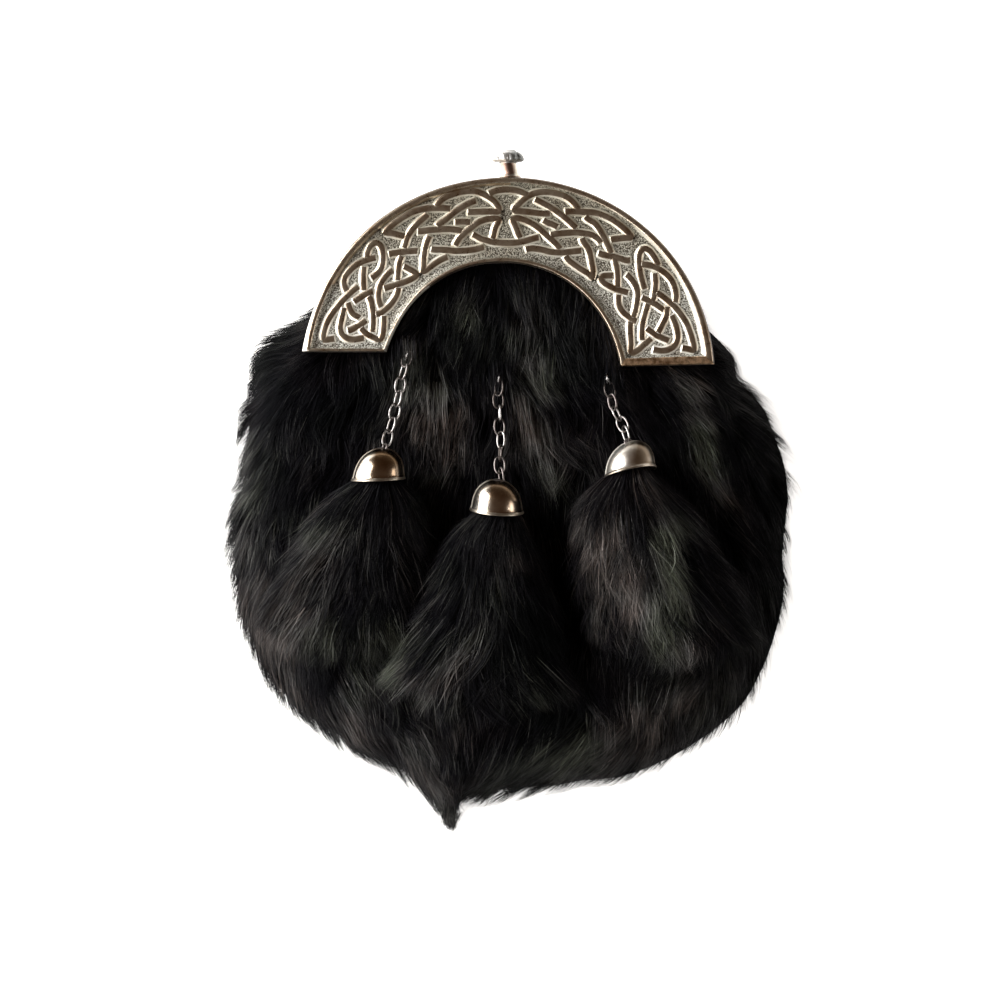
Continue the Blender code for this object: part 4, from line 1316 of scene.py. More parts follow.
# How the hair lies, in pixels of a 1000 x 1000 picture at 0.368 mm each with
# (508.5, 489) over the origin: x, y, degrees from straight down towards +X.
FLOW = np.array(
    (
        # x, y, lie
        (305, 322, -100),
        (280, 332, -98),
        (262, 350, -88),
        (250, 372, -68),
        (285, 365, -60),
        (255, 395, -50),
        (722, 345, 88),
        (738, 366, 70),
        (242, 425, -46),
        (236, 470, -34),
        (232, 520, -22),
        (230, 570, -12),
        (238, 620, 2),
        (252, 660, 12),
        (275, 690, 14),
        (305, 715, 10),
        (335, 735, 14),
        (370, 750, 22),
        (400, 770, 34),
        (430, 795, 36),
        (452, 822, 14),
        (300, 400, -22),
        (290, 450, -16),
        (280, 500, -14),
        (270, 560, -10),
        (285, 620, -4),
        (310, 670, 2),
        (345, 710, 10),
        (390, 710, 30),
        (420, 740, 26),
        (345, 380, -4),
        (350, 440, -6),
        (395, 400, -4),
        (420, 350, -8),
        (450, 300, -6),
        (450, 360, -5),
        (445, 420, 0),
        (440, 470, 6),
        (500, 290, 2),
        (505, 340, 6),
        (500, 400, 3),
        (530, 300, 12),
        (545, 350, 16),
        (540, 400, 14),
        (560, 450, 16),
        (555, 500, 10),
        (590, 330, 20),
        (600, 380, 16),
        (600, 440, 14),
        (650, 390, 18),
        (690, 390, 28),
        (700, 430, 30),
        (715, 470, 30),
        (730, 500, 26),
        (750, 400, 34),
        (775, 450, 26),
        (785, 510, 16),
        (785, 560, 8),
        (780, 610, -2),
        (760, 660, -12),
        (735, 700, -20),
        (690, 690, -18),
        (650, 700, -20),
        (690, 735, -26),
        (640, 750, -28),
        (590, 760, -30),
        (540, 775, -30),
        (500, 785, -28),
        (470, 795, -20),
        (560, 720, -24),
        (500, 740, -20),
        (460, 760, -4),
        (350, 560, -8),
        (450, 600, 0),
        (560, 600, 2),
        (650, 600, 6),
        (740, 580, 12),
    ),
    float,
)
FLOW_X, FLOW_Y = (FLOW[:, 0] - 508.5) * 0.368, (489 - FLOW[:, 1]) * 0.368
FLOW_A = np.radians(FLOW[:, 2])


def lie(x, y):
    """Unit direction of the hair in plan."""
    d = (x[:, None] - FLOW_X) ** 2 + (y[:, None] - FLOW_Y) ** 2
    w = 1 / (d + 5.0**2) ** 1.7
    w /= w.sum(1, keepdims=True)
    sx = (w * np.sin(FLOW_A)).sum(1)
    cx = (w * np.cos(FLOW_A)).sum(1)
    n = np.hypot(sx, cx)
    return np.stack((sx / n, -cx / n), -1)


# How much farther out the fur's edge lies than the plain form's, by direction
# from its middle.
EDGE_MORE = np.array(
    (
        # degrees, mm
        (0, 2.2),
        (3, 5.2),
        (9, 5.2),
        (15, 1.8),
        (22, 2.4),
        (27, -0.4),
        (30, -3.0),
        (34, 3.6),
        (39, 5.8),
        (44, 3.0),
        (60, 0.2),
        (120, 0.4),
        (133, 3.6),
        (141, 4.2),
        (148, 3.8),
        (153, -2.6),
        (157, -4.2),
        (160, -1.0),
        (166, -2.4),
        (171, -1.4),
        (174, -2.4),
        (177, 0.4),
        (180, 2.8),
        (186, 2.8),
        (192, 5.2),
        (200, 3.4),
        (208, 2.6),
        (216, 2.6),
        (225, 2.0),
        (232, 0.0),
        (238, 0.6),
        (243, -1.8),
        (247, -1.4),
        (252, 1.8),
        (256, 0.3),
        (260, -2.2),
        (264, 1.4),
        (268, 2.2),
        (279, 2.0),
        (285, 0.3),
        (293, 2.7),
        (310, 2.8),
        (318, 3.8),
        (321, 4.2),
        (326, 3.3),
        (335, 4.3),
        (341, 3.4),
        (346, 1.4),
        (351, -0.6),
        (355, 0.2),
        (360, 2.2),
    ),
    float,
)


def edge_more(a):
    return np.interp(np.degrees(a) % 360, EDGE_MORE[:, 0], EDGE_MORE[:, 1])


def outward(a, r, more):
    """A radius on the plain form, drawn out to where the fur's edge lies."""
    edge = fur_r(a) * 1.026 + 0.4 + edge_more(a)
    return r + (more + edge_more(a)) * np.clip((r / edge - 0.84) / 0.14, 0, 1)


def make_hide():
    """The hide that the hair grows from, under the hair and round the pouch."""
    angles = TAU * np.arange(150) / 150
    loops = []
    for k in (0.2, 1, 2, 3, 3.6, 4.3, 5, 5.6, 6.3, 7, 7.6, 8.2, 8.8, 9.2):
        deep = float(np.interp(k, (0, 2, 2.01, 4.3, 7, 8.2, 9.2), (0, 4, 4.6, 4.6, 3.8, 3.0, 2.6)))
        near = np.clip((np.cos(angles) + 0.15) * 3, 0, 1) * np.clip((k - 6) / 1.5, 0, 1)
        r = ring_r(angles, np.full(150, float(k))) - deep + 2.0 * near
        r = outward(angles, r, 1.2)
        x, y = MIDDLE[0] + r * np.cos(angles), MIDDLE[1] + r * np.sin(angles)
        z = np.full(150, float(ring_z(k)))
        z -= np.interp(z, (0, 7, 14, 30), (0, 2.6, 3.2, 4.2))
        z = np.where(under_cantle(x, y, 1.5), np.minimum(z, 32.2), z)
        loops.append(np.stack((x, y, np.maximum(z, 0.6)), -1))
    for blend, scale, grow, z in (
        (0.70, 1.00, 0.0, 0.6),
        (0.30, 1.00, 0.0, 0.6),
        (0.00, 1.00, 0.6, 1.8),
        (0.00, 1.00, 0.6, 22.4),
        (0.00, 1.00, -1.5, 27.4),
        (0.00, 1.00, -5.5, 30.0),
        (0.00, 1.00, -11.8, FRONT_Z + 0.35),
        (0.00, 0.45, 0.0, FRONT_Z + 0.35),
        (0.00, 0.10, 0.0, FRONT_Z + 0.35),
    ):
        r = (pouch_r(angles) + (fur_r(angles) - pouch_r(angles)) * blend) * scale + grow
        loops.append(
            np.stack((MIDDLE[0] + r * np.cos(angles), MIDDLE[1] + r * np.sin(angles), np.full(150, z)), -1)
        )
    bag = Bag()
    bag.grid(np.stack(loops), close_v=True, cap=True)
    ob = bag.made("fur_hide", SKIN)
    fix_normals(ob)
    return ob


hide = make_hide()
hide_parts("fur_front")

KNOTS = 5


def ribbons(points, normals, width, roll):
    """Tapered strips along paths. points, normals: strands x knots x 3."""
    knots = points.shape[1]
    t = np.gradient(points, axis=1)
    t /= np.linalg.norm(t, axis=2, keepdims=True) + 1e-9
    side = np.cross(t, normals)
    side /= np.linalg.norm(side, axis=2, keepdims=True) + 1e-9
    up = np.cross(side, t)
    side = side * np.cos(roll)[:, None, None] + up * np.sin(roll)[:, None, None]
    s = np.linspace(0, 1, knots)
    w = width[:, None] * (0.72 + 0.28 * np.sin(math.pi * np.minimum(s * 1.6, 1.0)))[None] * (1 - s**2.6)[None]
    left = points - side * w[..., None] / 2
    right = points + side * w[..., None] / 2
    n = len(points)
    per = 2 * (knots - 1) + 1
    verts = np.empty((n, per, 3))
    verts[:, 0 : per - 1 : 2] = left[:, :-1]
    verts[:, 1 : per - 1 : 2] = right[:, :-1]
    verts[:, per - 1] = points[:, -1]
    base = (np.arange(n) * per)[:, None]
    k = np.arange(knots - 2) * 2
    quads = (base[:, :, None] + np.stack((k, k + 1, k + 3, k + 2), -1)[None]).reshape(-1, 4)
    tris = base + np.array((per - 3, per - 2, per - 1))[None]
    return verts.reshape(-1, 3), quads, tris


def along(paths, s):
    """Paths (strands x knots x 3) read at s (strands x m)."""
    knots = paths.shape[1]
    f = np.clip(s, 0, 1) * (knots - 1)
    i = np.minimum(f.astype(int), knots - 2)
    u = (f - i)[..., None]
    rows = np.arange(len(paths))[:, None]
    return paths[rows, i] * (1 - u) + paths[rows, i + 1] * u


# Painted sheen and painted shade on the fur: where its hairs are made lighter or darker, in the picture's pixels.
BODY_SHEEN = np.array(
    (
        # x, y, radius, sheen
        (450, 285, 15, 0.06),
        (480, 274, 15, 0.05),
        (512, 272, 15, 0.05),
        (545, 280, 15, 0.07),
        (575, 302, 14, 0.10),
        (428, 312, 14, 0.10),
        (462, 310, 13, 0.50),
        (472, 330, 13, 0.50),
        (530, 303, 13, 0.50),
        (545, 330, 14, 0.58),
        (518, 346, 14, 0.48),
        (540, 370, 15, 0.78),
        (545, 395, 14, 0.66),
        (410, 366, 12, 0.60),
        (399, 395, 13, 0.66),
        (391, 420, 12, 0.64),
        (434, 399, 16, 0.90),
        (424, 430, 18, 0.82),
        (455, 420, 14, 0.72),
        (452, 450, 16, 0.80),
        (440, 480, 14, 0.60),
        (475, 400, 12, 0.08),
        (490, 425, 15, 0.05),
        (500, 360, 12, 0.12),
        (527, 415, 15, 0.90),
        (536, 442, 16, 1.10),
        (547, 465, 14, 0.92),
        (556, 487, 12, 0.80),
        (580, 430, 16, 0.06),
        (590, 390, 16, 0.04),
        (612, 400, 9, 0.40),
        (622, 422, 8, 0.45),
        (650, 395, 15, 0.08),
        (655, 430, 14, 0.08),
        (700, 396, 15, 0.98),
        (703, 430, 15, 0.94),
        (706, 458, 14, 1.05),
        (715, 482, 13, 0.96),
        (726, 502, 13, 0.64),
        (740, 522, 12, 0.32),
        (738, 412, 12, 0.34),
        (762, 425, 18, 0.16),
        (775, 490, 26, 0.08),
        (760, 560, 30, 0.10),
        (772, 620, 26, 0.06),
        (790, 560, 20, 0.04),
        (783, 440, 14, 0.05),
        (730, 630, 14, 0.32),
        (720, 560, 20, 0.08),
        (320, 400, 30, 0.06),
        (280, 410, 24, 0.10),
        (350, 420, 26, 0.06),
        (300, 435, 10, 0.32),
        (312, 462, 10, 0.30),
        (330, 490, 24, 0.08),
        (292, 500, 22, 0.05),
        (290, 345, 16, 0.12),
        (262, 345, 13, 0.14),
        (252, 375, 11, 0.12),
        (240, 420, 10, 0.12),
        (255, 400, 14, 0.15),
        (262, 380, 16, 0.08),
        (270, 420, 16, 0.07),
        (240, 460, 11, 0.54),
        (238, 505, 16, 0.56),
        (238, 555, 18, 0.50),
        (248, 600, 20, 0.48),
        (262, 640, 22, 0.50),
        (285, 690, 20, 0.46),
        (300, 640, 16, 0.55),
        (305, 600, 18, 0.50),
        (320, 726, 16, 0.22),
        (352, 738, 16, 0.48),
        (358, 712, 14, 0.54),
        (326, 690, 15, 0.10),
        (372, 690, 18, 0.56),
        (388, 742, 20, 0.30),
        (420, 752, 14, 0.34),
        (420, 780, 14, 0.34),
        (440, 800, 18, 0.44),
        (450, 822, 8, 0.55),
        (462, 732, 18, 0.34),
        (490, 748, 18, 0.12),
        (525, 738, 20, 0.10),
        (560, 718, 24, 0.08),
        (600, 700, 20, 0.08),
        (560, 690, 20, 0.10),
        (500, 773, 16, 0.50),
        (533, 765, 15, 0.50),
        (565, 763, 16, 0.50),
        (590, 748, 16, 0.62),
        (612, 745, 14, 0.58),
        (560, 786, 18, 0.45),
        (480, 792, 14, 0.34),
        (600, 772, 16, 0.48),
        (640, 714, 16, 0.55),
        (655, 738, 18, 0.58),
        (676, 704, 17, 0.66),
        (700, 720, 18, 0.50),
        (722, 690, 17, 0.45),
        (640, 770, 14, 0.45),
        (738, 672, 14, 0.26),
        (764, 672, 16, 0.06),
        (742, 712, 13, 0.14),
        (640, 690, 12, 0.12),
    ),
    float,
)
# the tassels' painted sheen and painted shade
TASSEL_SHEEN = np.array(
    (
        # x, y, radius, sheen
        (380, 495, 26, 0.12),
        (355, 502, 10, 0.34),
        (390, 540, 18, 0.25),
        (310, 544, 16, 0.56),
        (327, 548, 15, 0.54),
        (310, 572, 16, 0.60),
        (340, 540, 13, 0.50),
        (292, 592, 17, 0.44),
        (272, 618, 15, 0.48),
        (307, 636, 14, 0.74),
        (285, 642, 15, 0.75),
        (330, 600, 12, 0.35),
        (330, 650, 12, 0.50),
        (362, 600, 24, 0.18),
        (347, 632, 17, 0.10),
        (400, 570, 20, 0.20),
        (395, 620, 18, 0.22),
        (370, 662, 14, 0.56),
        (497, 525, 18, 0.26),
        (424, 588, 8, 0.44),
        (415, 614, 8, 0.36),
        (397, 645, 11, 0.72),
        (391, 672, 12, 1.00),
        (390, 702, 12, 1.12),
        (416, 704, 14, 0.56),
        (432, 688, 15, 0.42),
        (452, 676, 14, 0.80),
        (466, 656, 13, 0.66),
        (476, 640, 11, 0.50),
        (432, 728, 14, 0.60),
        (455, 706, 14, 0.60),
        (515, 562, 12, 0.54),
        (505, 592, 11, 0.46),
        (460, 565, 14, 0.08),
        (445, 620, 16, 0.08),
        (480, 600, 14, 0.20),
        (540, 620, 24, 0.08),
        (520, 660, 24, 0.08),
        (550, 660, 20, 0.08),
        (500, 700, 18, 0.30),
        (540, 700, 10, 0.50),
        (565, 690, 10, 0.35),
        (630, 488, 22, 0.16),
        (578, 537, 10, 0.95),
        (588, 560, 10, 0.70),
        (598, 556, 13, 0.96),
        (616, 540, 12, 0.78),
        (655, 497, 10, 0.60),
        (668, 528, 13, 0.94),
        (674, 551, 14, 1.04),
        (672, 576, 15, 1.00),
        (624, 600, 14, 1.10),
        (641, 611, 14, 1.10),
        (655, 626, 13, 0.92),
        (660, 648, 13, 1.04),
        (681, 656, 12, 0.92),
        (691, 665, 10, 0.72),
        (604, 586, 12, 0.80),
        (600, 616, 12, 0.84),
        (596, 638, 10, 0.50),
        (632, 572, 14, 0.74),
        (630, 645, 13, 0.40),
        (674, 600, 15, 1.00),
        (690, 616, 13, 0.72),
        (704, 560, 15, 0.12),
        (725, 600, 16, 0.14),
        (720, 640, 16, 0.28),
    ),
    float,
)


def sheen_at(table, p, plain):
    px, py = pictured(p)
    d = ((px[:, None] - table[:, 0]) ** 2 + (py[:, None] - table[:, 1]) ** 2) / table[:, 2] ** 2
    w = np.exp(-1.1 * d)
    total = w.sum(1)
    return (plain * np.maximum(1 - total, 0) + (w * table[:, 3]).sum(1)) / np.maximum(total, 1)


def waves(rng, count, low, high):
    """A smooth random field of x, y."""
    k = TAU / rng.uniform(low, high, count)
    a = rng.uniform(0, TAU, count)
    phase = rng.uniform(0, TAU, count)

    def field(x, y):
        return np.sin(
            x[..., None] * k * np.cos(a) + y[..., None] * k * np.sin(a) + phase
        ).sum(-1) / math.sqrt(count / 2)

    return field


def body_hair(total):
    rng = np.random.default_rng(11)
    # clump roots, even over the outer form
    na, nk = 240, 10 * 8
    A = TAU * (np.arange(na) + 0.5) / na
    K = (np.arange(nk) + 0.5) / 8
    AA, KK = np.meshgrid(A, K, indexing="ij")
    r = ring_r(AA, KK)
    r2 = ring_r(AA, np.minimum(KK + 0.06, 9.99))
    run = np.hypot(r2 - r, ring_z(KK + 0.06) - ring_z(KK)) / 0.06 / 8
    area = run * r * TAU / na
    x, y = MIDDLE[0] + r * np.cos(AA), MIDDLE[1] + r * np.sin(AA)
    area = np.where(under_cantle(x, y, -6.5), 0, area)
    clumps = 5200
    pick = rng.choice(area.size, clumps, p=(area / area.sum()).ravel())
    ca = AA.ravel()[pick] + rng.uniform(-0.5, 0.5, clumps) * TAU / na
    ck = np.clip(KK.ravel()[pick] + rng.uniform(-0.5, 0.5, clumps) / 8, 0.02, 9.9)
    rr = ring_r(ca, ck)
    base = np.stack((MIDDLE[0] + rr * np.cos(ca), MIDDLE[1] + rr * np.sin(ca), ring_z(ck)), -1)
    # locks of some ten clumps share a turn and a lift
    locks = 430
    heart = base[rng.choice(clumps, locks, replace=False)]
    lock = ((base[:, None] - heart[None]) ** 2).sum(-1).argmin(1)
    turn_wave = waves(rng, 9, 22, 60)
    turn = 9 * turn_wave(base[:, 0], base[:, 1]) + rng.normal(0, 11, locks)[lock] + rng.normal(0, 5, clumps)
    turn = np.radians(turn)
    steps = 9
    length = 17 * rng.uniform(0.85, 1.25, locks)[lock] * rng.uniform(0.85, 1.15, clumps)
    length *= 1 - 0.15 * np.clip((base[:, 0] - 60) / 40, 0, 1)
    step = (length / (steps - 1))[:, None]
    path, normal = [base.copy()], []
    d = None
    p = base.copy()
    for j in range(steps):
        n = surface_normal(p[:, 0], p[:, 1])
        normal.append(n)
        f = lie(p[:, 0], p[:, 1])
        c, s = np.cos(turn), np.sin(turn)
        f = np.stack((f[:, 0] * c - f[:, 1] * s, f[:, 0] * s + f[:, 1] * c, np.zeros(clumps)), -1)
        t = f - n * (f * n).sum(1, keepdims=True)
        t /= np.linalg.norm(t, axis=1, keepdims=True)
        t[:, 2] = np.maximum(t[:, 2], -0.80)
        d = t if d is None else 0.5 * d + 0.5 * t
        d /= np.linalg.norm(d, axis=1, keepdims=True)
        if j < steps - 1:
            p = p + d * step
            top = read(HEIGHT, p[:, 0], p[:, 1])
            p[:, 2] += np.clip(top - p[:, 2], -0.35, 0.6) * 0.8
            path.append(p.copy())
    path, normal = np.stack(path, 1), np.stack(normal, 1)
    # height over the form: from the hide up to the surface and a little past it
    lift = 0.4 + rng.normal(0, 0.9, locks)[lock] + rng.normal(0, 0.45, clumps)
    s = np.linspace(0, 1, steps)[None]
    depth = 4.8
    rise = 0.4 * (1 - (1 - s) ** 2) + 0.6 * s
    path = path + normal * (-depth + (depth + lift[:, None]) * rise)[..., None]
    # the locks curl sideways to their tips
    bend = (rng.normal(0, 1.5, locks)[lock] + rng.normal(0, 0.6, clumps))[:, None] * s**2
    tangent = np.gradient(path, axis=1)
    tangent /= np.linalg.norm(tangent, axis=2, keepdims=True)
    path = path + np.cross(tangent, normal) * bend[..., None]

    # hairs
    owner = rng.integers(0, clumps, total)
    reach = 3.3 * np.sqrt(rng.uniform(0, 1, total))
    spin = rng.uniform(0, TAU, total)
    oa, ob = reach * np.cos(spin), reach * np.sin(spin)
    own = rng.uniform(0.62, 1.0, total)
    s = np.linspace(0, 1, KNOTS)[None] * own[:, None]
    P = along(path[owner], s)
    N = along(normal[owner], s)
    N /= np.linalg.norm(N, axis=2, keepdims=True)
    T = np.gradient(P, axis=1)
    T /= np.linalg.norm(T, axis=2, keepdims=True)
    B = np.cross(T, N)
    gather = 1 - rng.uniform(0.35, 0.75, clumps)[owner][:, None] * s**1.3
    P = P + B * (ob[:, None] * gather)[..., None] + T[:, :1] * oa[:, None, None]
    P = P + N * (rng.normal(-0.3, 0.55, total)[:, None] * (0.3 + 0.7 * s))[..., None]
    P = P + B * (rng.normal(0, 1.0, total)[:, None] * s**1.5)[..., None]
    wave = np.sin(s * rng.uniform(2.0, 5.5, total)[:, None] + rng.uniform(0, TAU, total)[:, None])
    P = P + B * (wave * rng.uniform(0.1, 0.5, total)[:, None] * s)[..., None]
    wild = rng.uniform(0, 1, total) < 0.06
    P = P + (B * rng.normal(0, 3.2, total)[:, None, None] + N * 1.4) * (s**2 * wild[:, None])[..., None]
    # hold the edge, all but a few hairs
    dx, dy = P[..., 0] - MIDDLE[0], P[..., 1] - MIDDLE[1]
    a, plain_r = np.arctan2(dy, dx), np.hypot(dx, dy)
    edge = fur_r(a) * 1.026 + 0.4 + edge_more(a)
    r = outward(a, plain_r, 1.2)
    left = P[:, -1, 0] < 10
    room = np.where(left, rng.exponential(1.3, total) + 0.3, rng.exponential(0.3, total) + 0.12)
    room = np.minimum(room, 5.0)[:, None]
    over = np.maximum(r - edge, 0)
    new = np.where(over > 0, edge + room * (1 - np.exp(-over / room)), r)
    k = new / np.maximum(plain_r, 1e-6)
    P[..., 0] = MIDDLE[0] + dx * k
    P[..., 1] = MIDDLE[1] + dy * k
    # stay under the cantle and over the table
    inside = under_cantle(P[..., 0], P[..., 1], 0.8)
    P[..., 2] = np.where(inside, np.minimum(P[..., 2], 32.6), P[..., 2])
    P[..., 2] = np.maximum(np.minimum(P[..., 2], 42.5), 0.35 + 0.3 * rng.uniform(0, 1, total)[:, None])
    width = rng.uniform(0.17, 0.34, total)
    roll = rng.uniform(-0.75, 0.75, total)
    # each hair's painted sheen, from the table, with some scatter
    shine = sheen_at(BODY_SHEEN, P[:, 3], 0.22)
    shine = shine + rng.normal(0, 0.05, locks)[lock][owner] + rng.normal(0, 0.05, clumps)[owner]
    shine = shine * rng.normal(1, 0.26, total) + rng.normal(0, 0.08, total)
    return P, N, width, roll, shine


SHINE_STEPS = (0.20, 0.38, 0.62, 0.84)


def hair_pieces(P, N, width, roll, shine, groups, names):
    """One mesh for each name. The dark hairs have a knot less."""
    made = []
    # each hair's material: its step of painted sheen
    kind = np.digitize(shine, SHINE_STEPS)
    for k, name in enumerate(names):
        bag = Bag()
        for dull in (False, True):
            on = (groups == k) & ((kind < 2) == dull)
            points, normals = P[on], N[on]
            knots = KNOTS
            if dull:
                knots = KNOTS - 1
                s = np.broadcast_to(np.linspace(0, 1, knots), (len(points), knots))
                points, normals = along(points, s), along(normals, s)
            verts, quads, tris = ribbons(points, normals, width[on], roll[on])
            bag.verts.append(verts)
            bag.quads.append(quads + bag.count)
            bag.tris.append(tris + bag.count)
            bag.count += len(verts)
            bag.quad_paint.append(np.repeat(kind[on], knots - 2))
            bag.tri_paint.append(kind[on])
        ob = bag.made(name, *HAIRS)
        count = 2 * sum(map(len, bag.quads)) + sum(map(len, bag.tris))
        print(name, "hairs", int((groups == k).sum()), "triangles", count)
        made.append(ob)
    return made


def cover_hair(each):
    """Hair that falls over the top link of each chain."""
    rng = np.random.default_rng(29)
    out = []
    for drop in DROPS.values():
        x0, y0 = drop["top"]
        root_x, root_y = x0 + rng.normal(0, 2.6, each), y0 + rng.uniform(1.5, 8.0, each)
        long = rng.uniform(7.5, 12.5, each)
        aside = rng.normal(0, 1.2, each)
        high = rng.uniform(1.6, 4.2, each)
        s = np.linspace(0, 1, KNOTS)[None]
        x = root_x[:, None] + aside[:, None] * s**1.3
        y = root_y[:, None] - long[:, None] * s
        z = 36.5 + (5.0 + high)[:, None] * np.sin(math.pi * (0.08 + 0.66 * s))
        P = np.stack((x, y, z), -1)
        N = np.broadcast_to((0.0, 0.15, 1.0), P.shape).copy()
        # painted sheen, as for the body
        shine = sheen_at(BODY_SHEEN, P[:, 3], 0.22) + rng.normal(0, 0.08, each)
        out.append((P, N, rng.uniform(0.2, 0.38, each), rng.uniform(-0.6, 0.6, each), shine))
    return [np.concatenate(parts) for parts in zip(*out)]


BODY_TOTAL = 109000
strands = [np.concatenate(pair) for pair in zip(body_hair(BODY_TOTAL), cover_hair(90))]
TOTAL = len(strands[0])
order = np.argsort(np.argsort(strands[0][:, 2, 0]))
groups = (order * 4 // TOTAL).clip(0, 3)
for ob in hair_pieces(*strands, groups, ("fur_left", "fur_mid_left", "fur_mid_right", "fur_right")):
    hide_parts("fur_front")


# -------------------------------------------------------------------- tassels
# Each tassel's outline in the picture's pixels, from under its cap down, and how
# far down its hair ends at the left edge, at quarters across, and at the right.
TASSELS = {
    "left": dict(
        rows=(
            # y, left, right
            (466, 362, 396),
            (476, 356, 402),
            (484, 347, 408),
            (492, 334, 416),
            (500, 323, 422),
            (520, 309, 429),
            (550, 291, 434),
            (580, 273, 433),
            (610, 261, 428),
            (640, 256, 418),
            (670, 262, 405),
            (700, 270, 395),
        ),
        ends=(636, 662, 672, 668, 650),
    ),
    "middle": dict(
        rows=(
            (500, 480, 514),
            (510, 474, 520),
            (518, 466, 524),
            (526, 457, 528),
            (536, 449, 532),
            (560, 436, 541),
            (590, 422, 551),
            (620, 407, 558),
            (650, 394, 566),
            (680, 387, 574),
            (710, 386, 580),
            (745, 396, 576),
            (775, 405, 570),
        ),
        ends=(690, 728, 742, 716, 700),
    ),
    "right": dict(
        rows=(
            (463, 612, 648),
            (473, 606, 655),
            (481, 597, 661),
            (490, 588, 670),
            (500, 580, 680),
            (520, 572, 698),
            (550, 570, 717),
            (580, 573, 733),
            (610, 581, 747),
            (640, 590, 758),
            (670, 602, 764),
            (700, 614, 768),
        ),
        ends=(650, 672, 678, 668, 650),
    ),
}
# Half heights down from the cap's mouth.
TASSEL_HEIGHT = np.array(
    (
        # down, half height
        (-8.0, 4.0),
        (-3.0, 7.6),
        (0.0, 8.4),
        (3.0, 9.8),
        (7.0, 10.6),
        (16.0, 10.4),
        (32.0, 9.8),
        (48.0, 8.6),
        (60.0, 6.6),
        (72.0, 4.2),
        (90.0, 2.6),
    )
)


def tassel_space(side, drop):
    """Place points by how far down and how far across the tassel they are."""
    shape = TASSELS[side]
    rows = np.array(shape["rows"], float)
    x0, y = seen(rows[:, 1], rows[:, 0], DROP_Z)
    x1, _ = seen(rows[:, 2], rows[:, 0], DROP_Z)
    down = drop["mouth"][1] - y
    mid = (x0 + x1) / 2
    table = np.linspace(down[0] - 4, down[-1], 60)
    left, right = np.interp(table, down, x0), np.interp(table, down, x1)
    half_h = np.interp(table, TASSEL_HEIGHT[:, 0], TASSEL_HEIGHT[:, 1])
    rest = []
    for d, a, b, h in zip(table, left, right, half_h):
        u = np.linspace(-1, 1, 15)
        px = (a + b) / 2 + (b - a) / 2 * u
        py = np.full(15, drop["mouth"][1] - d)
        rest.append((read(HEIGHT, px, py) + 0.3 + h * np.sqrt(1 - u**2) * 0.9).max())
    rest = np.array(rest)
    rest = np.where(table <= 0, DROP_Z, DROP_Z + (rest - DROP_Z) * np.clip(table / 12, 0, 1))
    sag = 2.6 * np.clip((table - 20) / 45, 0, 1)
    ends = drop["mouth"][1] - seen(500, np.array(shape["ends"], float), DROP_Z)[1]

    def place(s, u, v):
        a, b = np.interp(s, table, left), np.interp(s, table, right)
        x = (a + b) / 2 + (b - a) / 2 * u
        y = drop["mouth"][1] - s + 0 * u
        z = np.interp(s, table, rest - sag) + np.interp(s, TASSEL_HEIGHT[:, 0], TASSEL_HEIGHT[:, 1]) * v
        floor = read(HEIGHT, x, y) + 0.2
        return np.stack((x, y, np.where(s > 6, np.maximum(z, floor), z)), -1)

    def end_at(u):
        return np.interp(u, (-1, -0.5, 0, 0.5, 1), ends)

    return place, end_at


